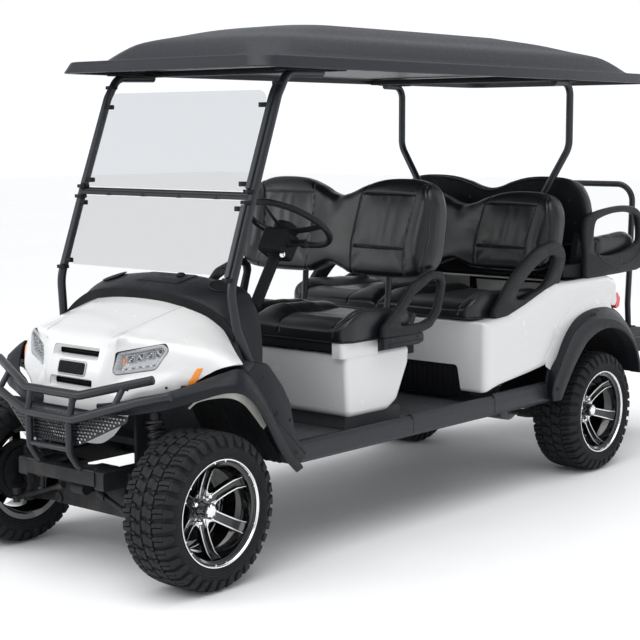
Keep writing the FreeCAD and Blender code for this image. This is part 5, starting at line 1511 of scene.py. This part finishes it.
def roof_ring(g, h, ef, er, z=None):
    w = ROOF_HALF - g
    rf, rr = min(80 + 0.5 * g, 200, 0.85 * w), min(80 + 0.4 * g, 170, 0.85 * w)
    y0, y1 = ROOF_Y0 + g + ef, ROOF_Y1 - g - er
    zz = ROOF_Z0 + h
    out = []
    cs = [((w - rf, y0 + rf), rf, -90), ((w - rr, y1 - rr), rr, 0), ((-w + rr, y1 - rr), rr, 90), ((-w + rf, y0 + rf), rf, 180)]
    arcs = []
    for (cx, cy), r, a0 in cs:
        arcs.append([(cx + r * math.cos(math.radians(a0 + t)), cy + r * math.sin(math.radians(a0 + t))) for t in np.linspace(0, 90, 13)])
    for k in range(4):
        out += arcs[k]
        p, q = np.array(arcs[k][-1]), np.array(arcs[(k + 1) % 4][0])
        n_ = 18 if k in (0, 2) else 10
        out += [tuple(p + (q - p) * t) for t in np.linspace(0, 1, n_ + 1)[1:-1]]
    # slight crown between the corners
    return [(x, y, zz + (1.5 * math.sin(math.pi * (y - y0) / max(1.0, y1 - y0)) if h > 60 else 0)) for x, y in out]


b = Bin()
lv = [(60, 26, 0, 0), (34, 24, 0, 0), (24, 18, 0, 0), (21, 2, 0, 0), (18, 0, 0, 0), (4, 0, 0, 0), (1.2, 1.0, 0, 0), (0, 4, 0, 0),
      (3.8, 12, 0, 0), (8, 22, 0, 0), (12, 32, 0, 0), (14.6, 38.5, 0, 0), (16.6, 42.5, 0, 0), (19.6, 44.8, 0, 0), (24, 46, 2, 2)]
dm = smooth_line([(g, h, a, c) for g, h, a, c in DOME[1:]], 26)
lv += [(50, 48, 20, 16), (dm[0][0] - 8, 50, dm[0][2] - 4, dm[0][3] - 3)]
lv += [tuple(q) for q in dm]
lv += [(455, 207.5, 350, 440), (505, 209.5, 400, 495), (540, 210, 430, 530)]
b.rings([roof_ring(*q) for q in lv], 0)
b.make("roof_shell", "chassis", ROOF, "black_roof", 24, nodes=["roof_canopy"])
b = Bin()
for y in (-515, 1020):
    b.box(-ROOF_HALF + 30, ROOF_HALF - 30, y - 30, y + 30, ROOF_Z0 - 4, ROOF_Z0 + 20, 3, 4)
for s in (-1, 1):
    # plates that carry the roof on the struts, with bolts
    b.box(s * 470 - 34, s * 470 + 34, -790, -560, 1850, 1858, 2, 6)
    b.box(s * 496 - 30, s * 496 + 30, 1040, 1235, 1850, 1858, 2, 6)
    for y in (-742, -640):
        b.bolt((s * 470, y, 1849.6), (0, 0, -1), 7, 6, 1)
    for y in (1075, 1180):
        b.bolt((s * 496, y, 1849.6), (0, 0, -1), 7, 6, 1)
b.make("roof_brackets", "chassis", [PLASTIC_D, STEEL], "black_steel", 36)


# --------------------------------------------------------------- armrests
def ring_arm(name, o, ro, i_, ri, x0, x1, nodes, extra=None):
    """Rounded bar loop: the outer form less a flared inner form."""
    for s, tag in ((1, "left"), (-1, "right")):
        a, c = (x0, x1) if s > 0 else (-x1, -x0)
        ob_o = Bin()
        oo = even(rounded(o, ro, True, 8), 200, True) if ro else closed_smooth(o, 200)
        k = 13.0 if ro else 9.0
        lv = [(a, k), (a + 1.2, k * 0.62), (a + 4.2, k * 0.28), (a + 8, k * 0.08), (a + 13, 0), (c - 13, 0), (c - 8, k * 0.08),
              (c - 4.2, k * 0.28), (c - 1.2, k * 0.62), (c, k)]
        ob_o.rings([[(x, p[0], p[1]) for p in inset2(oo, ins)] for x, ins in lv])
        ob = ob_o.make(name + "_" + tag, "chassis", GRIP, "grip_rubber", 42, nodes=nodes if s > 0 else ())
        ii = even(rounded(i_, ri, True, 8), 120, True) if ri else closed_smooth(i_, 120)
        cc = Bin()
        kk = 1.0 if ri else 0.6
        lv = [(a - 1, 12.0), (a + 1.2, 7.4), (a + 4.2, 3.3), (a + 8, 1.0), (a + 13.3, 0), (c - 13.3, 0), (c - 8, 1.0),
              (c - 4.2, 3.3), (c - 1.2, 7.4), (c + 1, 12.0)]
        cc.rings([[(x, p[0], p[1]) for p in inset2(ii, -ins * kk)] for x, ins in lv])
        k_ = loose(cc, "cut_arm")
        cut(ob, k_)
        bpy.data.objects.remove(k_)
        if extra:
            k_ = loose(extra(s), "cut_arm2")
            cut(ob, k_)
            bpy.data.objects.remove(k_)
        shade(ob, 42)


ring_arm("front_armrest",
         [(-300, 796), (-298, 838), (-168, 938), (-100, 1004), (30, 1046), (112, 1040), (126, 985), (92, 868), (28, 812), (-60, 792)],
         [14, 34, 60, 60, 44, 34, 34, 50, 34, 30],
         [(-212, 838), (-88, 956), (28, 1010), (84, 1006), (88, 975), (56, 884), (20, 852), (-40, 838)],
         [18, 40, 40, 18, 16, 30, 22, 20], 542, 574, ["front_armrests"])
b = Bin()
b.prism([(-296, 752), (-296, 798), (-30, 798), (-30, 760), (-60, 752)], "x", 540, 572, [8, 8, 10, 10, 10], 5)
b.prism([(-262, 757), (-262, 771), (-44, 771), (-44, 763), (-66, 757)], "x", 571, 574.5, [3, 3, 3, 3, 3], 1.2)
for y in (-240, -70):
    b.bolt((572, y, 784), (1, 0, 0), 5, 3, 1, False)
b.mirrored()
b.make("front_armrest_bases", "chassis", [PLASTIC, STEEL], "black_plastic", 38)

ring_arm("middle_armrest",
         [(484, 832), (541, 893), (615, 965), (729, 1043), (832, 1094), (953, 1118), (1022, 1105), (1058, 1066), (1060, 1019),
          (1030, 955), (996, 903), (960, 869), (920, 846), (853, 833), (760, 820), (670, 810), (555, 803), (493, 808)], None,
         [(652, 886), (700, 938), (782, 995), (861, 1032), (925, 1052), (962, 1050), (972, 1028), (948, 980), (910, 940), (858, 912),
          (780, 892), (712, 872)], None, 542, 576, ["middle_armrests"])

# rear arms: a hoop standing in a bowl-shaped base
ring_arm("rear_armrest",
         [(1252, 930), (1247, 1038), (1236, 1114), (1240, 1180), (1273, 1221), (1360, 1243), (1510, 1258), (1633, 1259), (1712, 1247),
          (1772, 1214), (1802, 1160), (1812, 1080), (1806, 1000), (1780, 945), (1700, 934), (1560, 928), (1400, 926), (1300, 924)], None,
         [(1326, 1052), (1316, 1125), (1330, 1186), (1376, 1207), (1496, 1226), (1619, 1227), (1698, 1213), (1739, 1180), (1752, 1090),
          (1705, 1060), (1612, 1037), (1489, 1024), (1383, 1030)], None, 542, 574, ["rear_armrests"])
b = Bin()
bowl = smooth_line([(0, 1346, 1040), (0, 1396, 1006), (0, 1470, 979), (0, 1560, 967), (0, 1650, 977), (0, 1720, 1003), (0, 1772, 1052)], 60)
pth = [(574.6, p[1], p[2]) for p in bowl]
b.sweep(pth, [(3.4, -1.5), (2.6, 1.2), (0, 2.2), (-2.6, 1.2), (-3.4, -1.5)], False, (0, 0, 1.0), None, 0)
for y in (1262, 1800):
    b.bolt((574, y, 962), (1, 0, 0), 6, 4, 1)
b.mirrored()
b.make("rear_armrest_trim", "chassis", [PLASTIC, STEEL], "black_plastic", 38)

# ------------------------------------------- cowl trim, screen channels
TRIM_T = [(0, -1090, 1023), (60, -1090, 1023), (120, -1090, 1021), (180, -1093, 1016), (240, -1092, 1007), (300, -1082, 994),
          (360, -1072, 970), (420, -1062, 938), (470, -1060, 900)]
TRIM_B = [(0, -1088, 984), (60, -1088, 983), (120, -1088, 981), (180, -1089, 975), (240, -1087, 967), (300, -1075, 952),
          (360, -1064, 930), (420, -1058, 894), (470, -1060, 852)]
tt = smooth_line([(-x, y, z) for x, y, z in reversed(TRIM_T[1:])] + TRIM_T, 90)
tb = smooth_line([(-x, y, z) for x, y, z in reversed(TRIM_B[1:])] + TRIM_B, 90)
b = Bin()
rg = []
for p, q in zip(tt, tb):
    d_ = (p - q) / np.linalg.norm(p - q)
    rg.append([q + (0, 9, 0), q + (0, -1, 0), p + (0, -3, -4), p + (0, -1, -1), p + (0, 3, 0.5), p + (0, 8, -1), p + (0, 11, -5)])
b.rings(rg, 0)
b.make("cowl_trim", "chassis", PLASTIC_D, "black_plastic", 40)

# screen channels on the struts, clips and bolts
def along_strut(z):
    return np.interp(z, [702, 901, 1042, 1400, 1759, 1842], [-1006, -1059, -1078, -949, -813, -760])


b = Bin()
for z0, z1 in ((1092, 1352), (1412, 1800)):
    pts = [(458, along_strut(z) - 14, z) for z in np.linspace(z0, z1, 14)]
    b.sweep(pts, [(-12, -9), (-12, 9), (-9, 12), (9, 12), (12, 9), (12, -9), (9, -12), (-9, -12)], False, (1, 0, 0), None, 0)
for z in (1084, 1364, 1404, 1802):
    y = along_strut(z) - 14
    b.box(442, 486, y - 14, y + 16, z - 7, z + 7, 2, 3, 1)
    b.bolt((464, y - 14, z), (0, -1, 0), 5.5, 5, 2)
for z, x in ((1112, 432), (1340, 432), (1722, 424), (1430, 424)):
    y = along_strut(z) - 16
    b.box(x - 16, x + 20, y - 9, y + 9, z - 9, z + 9, 2, 3, 1)
    b.bolt((x - 2, y - 9, z), (0, -1, 0), 3.4, 3, 2, False)
b.mirrored()
for x in (-300, -100, 100, 300):
    b.bolt((x, -972, 1379), (0, -1, 0), 4.2, 3, 2, False)
    b.box(x - 14, x + 14, -974, -948, 1371, 1374, 1, 2, 1)
b.make("screen_channels", "chassis", [PIPE, PLASTIC_D, STEEL], "black_steel", 36)

# ------------------------------------------- wheel, column head, key, stalk
HUB = np.array([272.0, -536.0, 1258.0])
AX = np.array([0.0, math.sin(math.radians(32)), math.cos(math.radians(32))])
E1 = np.array([1.0, 0, 0])
E2 = np.cross(AX, E1)


def on_wheel(r, t, up=0.0):
    return HUB + E1 * r * math.cos(t) + E2 * r * math.sin(t) + AX * up


b = Bin()
n_ = 120
pts = [on_wheel(176, 2 * math.pi * k / n_) for k in range(n_)]
nrm = np.array([AX] * n_)
sec = [(12.4 * math.cos(t), 13.0 * math.sin(t)) for t in np.linspace(0, 2 * math.pi, 18, endpoint=False)]
sc = [1.0 + (0.05 if (k % 10) < 5 and (20 < k < 40 or 80 < k < 100) else 0.0) for k in range(n_)]
b.sweep(pts, sec, True, nrm, sc, 0)
for t in (math.radians(2), math.radians(178), math.radians(270)):
    a, c = on_wheel(38, t, -30), on_wheel(170, t, -1)
    m_ = (a + c) / 2 - AX * 4
    pth = smooth_line([a, m_, c], 12)
    for off in ((-9, 9) if abs(t - math.radians(270)) > 0.1 else (0,)):
        o_ = np.cross(AX, (c - a) / np.linalg.norm(c - a)) * off
        b.sweep([p + o_ for p in pth], [(4.2 * math.cos(q), 7.2 * math.sin(q)) for q in np.linspace(0, 2 * math.pi, 10, endpoint=False)],
                False, AX, [1.5 - 0.5 * k / 11 for k in range(12)], 0)
b.lathe([(-48, 0.01), (-48, 34), (-40, 45), (-26, 52), (-12, 50), (-6, 44), (-3, 30), (-2, 0.01)], HUB, AX, 40, 1)
b.lathe([(-6, 0.01), (-6, 27), (-1.5, 26), (0.5, 22), (1, 0.01)], HUB, AX, 40, 0)
b.make("steering_wheel_visual", "steering_wheel", [GRIP, PLASTIC_D], "grip_rubber", 40, nodes=["steering_wheel"])

b = Bin()
foot = HUB - AX * 120
b.lathe([(-34, 0.01), (-34, 30), (-20, 36), (20, 42), (52, 40), (64, 34), (66, 0.01)], foot, AX, 36, 0)
b.lathe([(-3, 0.01), (-3, 11.5), (4, 11.5), (5.5, 9), (5.5, 0.01)], foot + np.array([52.0, -30, -12]), (0.85, -0.5, 0.1), 20, 1)
b.box(0, 30, -2, 2, -8, 8, 0.8, 3, 1, xf=lambda p: tuple(foot + np.array([56.0, -33, -12]) + np.array([0.85, -0.5, 0.1]) * p[0] + np.array([0.5, 0.85, 0]) * p[1] + np.array([0, 0, 1.0]) * p[2]))
b.tube([foot + np.array([40.0, -6, 14]), foot + np.array([92.0, -2, 24]), foot + np.array([134.0, 0, 26])], 5.0, [0, 16, 0], n=12, m=0)
b.lathe([(-2, 0.01), (-2, 9), (4, 12), (22, 12), (27, 8), (27, 0.01)], foot + np.array([130.0, 0, 26]), (1, 0, 0.05), 18, 0)
b.make("column_head", "chassis", [PLASTIC_D, CHROME], "black_plastic", 38)

# ---------------------------------- rear body recess
b = Bin()
b.prism([(-498, 455), (498, 455), (520, 606), (-520, 606)], "y", 401, 404, 20, 1.0, 0)
for x in np.arange(-470, 471, 28):
    b.box(x - 4, x + 4, 397.5, 402, 462, 600, 1, 1, 0)
b.make("bay_panel", "chassis", PLASTIC_D, "black_plastic", 36)

# ------------------------------------- treads on sills and footrest
b = Bin()
for y0, y1 in ((-820, -470), (-370, -160), (-130, 410)):
    for x in np.arange(548, 596, 9):
        b.box(x - 2.4, x + 2.4, y0 + 8, y1 - 8, 455.2, 457.4, 0.8, 1.0, 0)
b.mirrored()
for y in np.arange(1830, 2270, 14):
    b.box(-468, 468, y - 3.5, y + 3.5, 571.5, 574.2, 0.9, 1.2, 1)
b.make("tread_ribs", "chassis", [PLASTIC, MAT], "floor_mat", 36)

# ------------------------------------------- coils round the front shocks
sh = NODES["front_shocks"].data
zc = np.array([tuple(v.co) for v in sh.vertices]) * 1000
zc[:, 1] += Y_MID
lf = zc[zc[:, 0] > 0]
hi_, lo_ = lf[lf[:, 2] > lf[:, 2].max() - 12].mean(0), lf[lf[:, 2] < lf[:, 2].min() + 12].mean(0)
ax_ = (hi_ - lo_) / np.linalg.norm(hi_ - lo_)
e1 = np.cross(ax_, (0, 1.0, 0))
e1 /= np.linalg.norm(e1)
e2 = np.cross(ax_, e1)
L_ = float(np.linalg.norm(hi_ - lo_))
b = Bin()
helix = [lo_ + ax_ * (L_ * (0.30 + 0.56 * t)) + (e1 * math.cos(t * 15 * math.pi) + e2 * math.sin(t * 15 * math.pi)) * 31 for t in np.linspace(0, 1, 170)]
b.tube(helix, 5.2, n=8)
b.mirrored()
b.make("shock_coils", "chassis", SPRING, "spring_steel", 50)

# ------------------------------------------------------------ dash moulding
DX = [0, 60, 120, 180, 240, 300, 350, 385, 410, 424, 432]
DZ = [1069, 1069, 1069, 1064, 1057, 1051, 1040, 1018, 978, 930, 880]
b = Bin()
rg = []
for x in np.concatenate([-np.array(DX[::-1])[:-1], DX]).astype(float):
    zc = float(np.interp(abs(x), DX, DZ))
    yt = float(np.interp(abs(x), [p[0] for p in TRIM_T], [p[1] for p in TRIM_T]))
    zt = float(np.interp(abs(x), [p[0] for p in TRIM_T], [p[2] for p in TRIM_T])) - 5
    zt = min(zt, zc - 6)
    sink = 60 if abs(x) > 420 else 0
    prof = [(yt + 12, zt - 60), (yt + 9, zt - 8), (yt + 12, zt), (yt + 30, zt + (zc - zt) * 0.22), (-1000, zt + (zc - zt) * 0.62),
            (-955, zt + (zc - zt) * 0.86), (-922, zc - 1.5), (-900, zc), (-878, zc - 8), (-866, zc - 28), (-862, zc - 90),
            (-866, min(zc - 180, 820)), (-858, 700), (-900, 640), (-980, 640), (-1030, 760)]
    rg.append([(x, y, z) for y, z in prof])
sm = []
for k in range(len(rg) - 1):
    for t in np.linspace(0, 1, 5)[:-1]:
        sm.append([tuple(np.array(p) * (1 - t) + np.array(q) * t) for p, q in zip(rg[k], rg[k + 1])])
sm.append(rg[-1])
b.rings(sm, 0)
dash_ob = b.make("dash_shell", "chassis", [PLASTIC, PLASTIC_D], "black_plastic", 46, nodes=["dash_panel"])
dtree = bvh_of(dash_ob)
b = Bin()


def lay(outline, h, m, back=2.0):
    base, mid_, top = [], [], []
    o = even(rounded(outline, 14, True, 5), 72, True)
    c_ = o.mean(0)
    for f, hh, dst in ((1.0, -back, base), (1.0, h * 0.7, mid_), (0.965, h, top)):
        for x, y in c_ + (o - c_) * f:
            q, n = hit(dtree, (x, y, 1200), (0, 0, -1))
            if q is None:
                q = np.array([x, y, 1050.0])
            dst.append((q[0], q[1], q[2] + hh))
    b.rings([base, mid_, top], m)


lay([(-110, -1010), (130, -1010), (142, -905), (-122, -905)], 3.2, 0)
for s in (-1, 1):
    # cup holder rim round a flat dark disc: painted shade standing in for the hollow of the well
    q, n = hit(dtree, (s * 300, -945, 1200), (0, 0, -1))
    n = n if n[2] > 0 else -n
    b.lathe([(-1, 0.01), (-1, 52), (2.8, 50), (3.4, 46), (1.0, 42), (0.6, 41.5), (0.6, 0.01)], q, n, 44, 0)
    b.lathe([(0.2, 0.01), (0.2, 40), (1.3, 40), (1.3, 0.01)], q, n, 40, 1)
    q, n = hit(dtree, (s * 390, -990, 1200), (0, 0, -1))
q, n = hit(dtree, (60, -925, 1200), (0, 0, -1))
b.lathe([(-2, 0.01), (-2, 19), (3, 18), (8, 13), (10, 6), (10, 0.01)], q + n * 2, (0, 0, 1), 28, 0)
b.make("dash_details", "chassis", [PLASTIC, PLASTIC_D], "black_plastic", 36)

# -------------------------------------------------------------- rear flares
RO = [(872, 398), (876, 450), (884, 505), (904, 544), (950, 586), (986, 640), (1040, 700), (1110, 748), (1195, 774), (1297, 783),
      (1400, 776), (1480, 748), (1560, 700), (1620, 630), (1655, 550), (1668, 470), (1670, 438)]
RR = [(852, 398), (846, 440), (856, 480), (882, 520), (914, 572), (956, 628), (1000, 680), (1052, 716), (1122, 737), (1218, 744),
      (1336, 733), (1435, 706), (1520, 660), (1590, 596), (1632, 520), (1652, 462), (1656, 438)]
RI = [(908, 398), (930, 430), (968, 480), (1004, 525), (1040, 566), (1080, 604), (1122, 640), (1180, 668), (1255, 688), (1320, 693),
      (1390, 686), (1466, 662), (1530, 622), (1580, 570), (1612, 515), (1628, 465), (1632, 438)]
a_l = smooth_line([(604, y, z) for y, z in RO], 120)
c_l = smooth_line([(650, y, z) for y, z in RR], 120)
e_l = smooth_line([(656, y, z) for y, z in RI], 120)
grid = []
for a, c, e in zip(a_l, c_l, e_l):
    o_ = a - np.array([604.0, 1305.0, 286.0])
    o_ = o_ / np.linalg.norm(o_)
    row = [a + o_ * 12 - (12, 0, 0), a + o_ * 4 - (9, 0, 0), a - (3, 0, 0), a]
    for t in (0.2, 0.45, 0.7, 0.9):
        q = a * (1 - t) + c * t
        row.append(q + np.array([4.0, 0, 3.0]) * math.sin(math.pi * t))
    inw = (e - c) / np.linalg.norm(e - c)
    row += [c, c + inw * 3 + (1.5, 0, 0), c + inw * 9 + (0.5, 0, 0), c * 0.5 + e * 0.5 + (2.5, 0, 0), e - inw * 4 + (2, 0, 0), e, e + inw * 1.0 - (6, 0, 0),
            e - inw * 2 - (22, 0, 0), e - inw * 6 - (52, 0, 0)]
    grid.append(row)
b = Bin()
b.shell(np.array(grid), 3.2)
# liner over the wheel with stiffening ribs
ri2 = smooth_line([(0, y, z) for y, z in RI], 60)[:, 1:]
cen = np.array([1305.0, 286.0])
d_ = (ri2 - cen) / np.linalg.norm(ri2 - cen, axis=1)[:, None]
la, lb = ri2 + d_ * 4, ri2 + d_ * 11
b.prism(np.vstack([la, lb[::-1]]), "x", 322, 606, 0.0, 0.0, 1)
for x in (380, 450, 520):
    b.prism(np.vstack([la - d_ * 2.0, (la + lb)[::-1] / 2]), "x", x - 7, x + 7, 0.0, 1.0, 1)
b.mirrored()
flare_ob = b.make("rear_flares", "chassis", [PLASTIC, PLASTIC_D], "black_plastic", 36, nodes=["rear_fenders"])
ftree = bvh_of(flare_ob)
b = Bin()
for y, z in ((912, 588 - 28), (930, 606), (1196, 762), (1226, 764), (880, 452), (1590, 640)):
    q, n = hit(ftree, (900, y, z), (-1, 0, 0))
    if q is not None:
        n = n if n[0] > 0 else -n
        b.lathe([(-1.5, 0.01), (-1.5, 11), (1.4, 10), (1.0, 7), (-1.0, 6.6), (-1.0, 0.01)], q + n, n, 22, 0)
        b.bolt(tuple(q + n * 0.8), tuple(n), 4.4, 3.0, 1, False)
for tri in (((1262, 776), (1284, 776), (1276, 716)), ((950, 640), (962, 655), (1004, 600))):
    top, base = [], []
    for y, z in tri:
        q, n = hit(ftree, (900, y, z), (-1, 0, 0))
        if q is None:
            continue
        n = n if n[0] > 0 else -n
        top.append(q + n * 1.8)
        base.append(q - n * 1.5)
    if len(top) == 3:
        b.rings([base, top], 2)
b.mirrored()
b.make("rear_flare_fixings", "chassis", [PLASTIC, STEEL, PLASTIC_D], "black_plastic", 36)

# seam between bonnet and wing, laid on the painted surface
EYE = np.array([4365.6, -5108.5, 1622.5])
SEAM = [(284, -1499, 873), (291, -1486, 899), (302, -1471, 911), (327, -1440, 927), (369, -1390, 955), (412, -1339, 984), (449, -1297, 1005)]
b = Bin()
line = []
for P in SEAM:
    v = np.array(P, float) - EYE
    v /= np.linalg.norm(v)
    q, n = hit(tree, tuple(EYE + v * 3500), tuple(v))
    if q is not None:
        line.append(np.array(q) - (0, 0, 0.7))
if len(line) > 3:
    b.tube([tuple(p) for p in smooth_line(line, 40)], 1.5, n=8)
    b.mirrored()
    b.make("bonnet_seam", "chassis", LAMP_GREY, "white_body", 30)

# ------------------------------------- front seat posts, corner of the tub
b = Bin()
for s in (-1, 1):
    X = 240
    b.tube([(s * X, 168, 1120), (s * X, 158, 1010), (s * X, 150, 900), (s * X, 128, 800), (s * X, 70, 745)], 13.5, [0, 60, 60, 50, 0], n=18, seg=8, m=0)
    b.prism([(104, 1012), (166, 1012), (196, 1200), (158, 1206)], "x", s * X - 22, s * X + 22, 8, 2, 1)
    b.bolt((s * X, 172, 1050), (0, 1, -0.15), 6, 5, 2)
    b.bolt((s * X, 186, 1140), (0, 1, -0.15), 6, 5, 2)
    b.tube([(s * 430, 0, 728), (s * 430, 40, 760), (s * 430, 84, 850)], 12, [0, 40, 0], n=14, m=0)
b.tube([(-430, 84, 848), (430, 84, 848)], 10.5, n=14, m=0)
b.box(-498, 498, -50, -2, 702, 740, 2, 2, 1)
b.make("front_seat_posts", "chassis", [PIPE, PLASTIC_D, STEEL], "black_steel", 36, nodes=["front_seat_supports"])
b = Bin()
pl = rounded([(456, -483.5), (511.5, -483.5), (511.5, -262)], [0, 22, 0], False, 8)
inn = rounded([(456, -478), (506, -478), (506, -262)], [0, 17, 0], False, 8)
poly = [tuple(p)[:2] for p in pl] + [tuple(p)[:2] for p in inn][::-1]
b.prism(poly, "z", 728, 789, 0.0, 0.6, 0)
b.mirrored()
b.make("tub_corners", "chassis", WHITE, "white_body", 34)

# ------------------------- dark sheet laid on the white body between the middle seat and the rear one: painted shade
rtree = bvh_of(NODES["rear_body"])
prof = []
for z in (800, 825, 850, 870, 885):
    q, n = hit(rtree, (0, 600, z), (0, 1, 0))
    if q is not None and q[1] < 1000:
        prof.append((q[1] - 3, z))
for y in range(800, 1241, 20):
    q, n = hit(rtree, (0, y, 1400), (0, 0, -1))
    if q is not None and q[2] > 840 and (not prof or y > prof[-1][0]):
        prof.append((y, q[2] + 3))
if len(prof) > 3:
    low = [(y + (2.5 if i < 4 else 0), z - 2.5) for i, (y, z) in enumerate(prof)]
    b = Bin()
    b.prism(prof + low[::-1], "x", -560, 560, 0.0, 0.0, 0)
    b.make("rear_painted_shade", "chassis", PLASTIC_D, "black_plastic", 36)


# white skin round the rear arch, from the body's edge to the flare
grid = []
for a in a_l:
    if not (895 < a[1] < 1440 and a[2] > 530):
        continue
    o_ = a - np.array([604.0, 1305.0, 286.0])
    o_ = o_ / np.linalg.norm(o_)
    f_ = min(1.0, (a[1] - 880) / 30.0, (1440 - a[1]) / 60.0)
    grid.append([a * 1.0 + o_ * (6 + 62 * f_) + (-605.2 + 600.0, 0, 0), a + o_ * 22 * f_ + (-2.2, 0, 0), a + o_ * 8 * f_ + (-1.4, 0, 0), a + (-1.2, 0, 0),
                 a - o_ * 5 + (-3.0, 0, 0)])
b = Bin()
b.shell(np.array(grid), 2.4)
b.mirrored()
b.make("rear_arch_skin", "chassis", WHITE, "white_body", 34)


# ------------------------------------------------- materials of kept nodes
paint("frame_rails", "front_suspension", "knuckle_left", "knuckle_right", "tie_rod_left", "tie_rod_right", mat=STEEL)
paint("front_shocks", "leaf_springs", mat=SPRING)
paint("rear_axle", mat=CAST)
paint("battery_pack", mat=BATT)
paint("floor_pan", mat=MAT)
paint("rockers", mat=ROOF)
paint("dash_panel", "front_fenders", "rear_fenders", "footrest", "rear_cargo_deck", mat=PLASTIC)
paint("front_seat_supports", "rear_seat_frame", "pedals", "steering_column", mat=PLASTIC_D)
paint("front_cowl", "rear_body", "front_seat_base", mat=WHITE)
paint("headlights", mat=LAMP_GREY)
paint("front_bumper", "bumper_mesh", "front_struts", "rear_struts", "grab_bar", mat=PIPE)
paint("windshield", mat=SCREEN)
paint("roof_canopy", mat=ROOF)
paint("steering_wheel", "front_armrests", "middle_armrests", "rear_armrests", mat=GRIP)
paint("tail_lights", mat=RED)
for n in ("front_seat_cushion", "middle_seat_cushion", "rear_seat_cushion", "front_seat_backrest",
          "middle_seat_backrest", "rear_seat_backrest"):
    paint(n, mat=VINYL)

total = 0
for o in scene.objects:
    if o.type == "MESH" and not o.hide_render and not o.get("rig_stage"):
        o.data.calc_loop_triangles()
        k = len(o.data.loop_triangles)
        total += k
        if k > 40000:
            print("TRIS", o.name, k)
print("TRIS total", total)
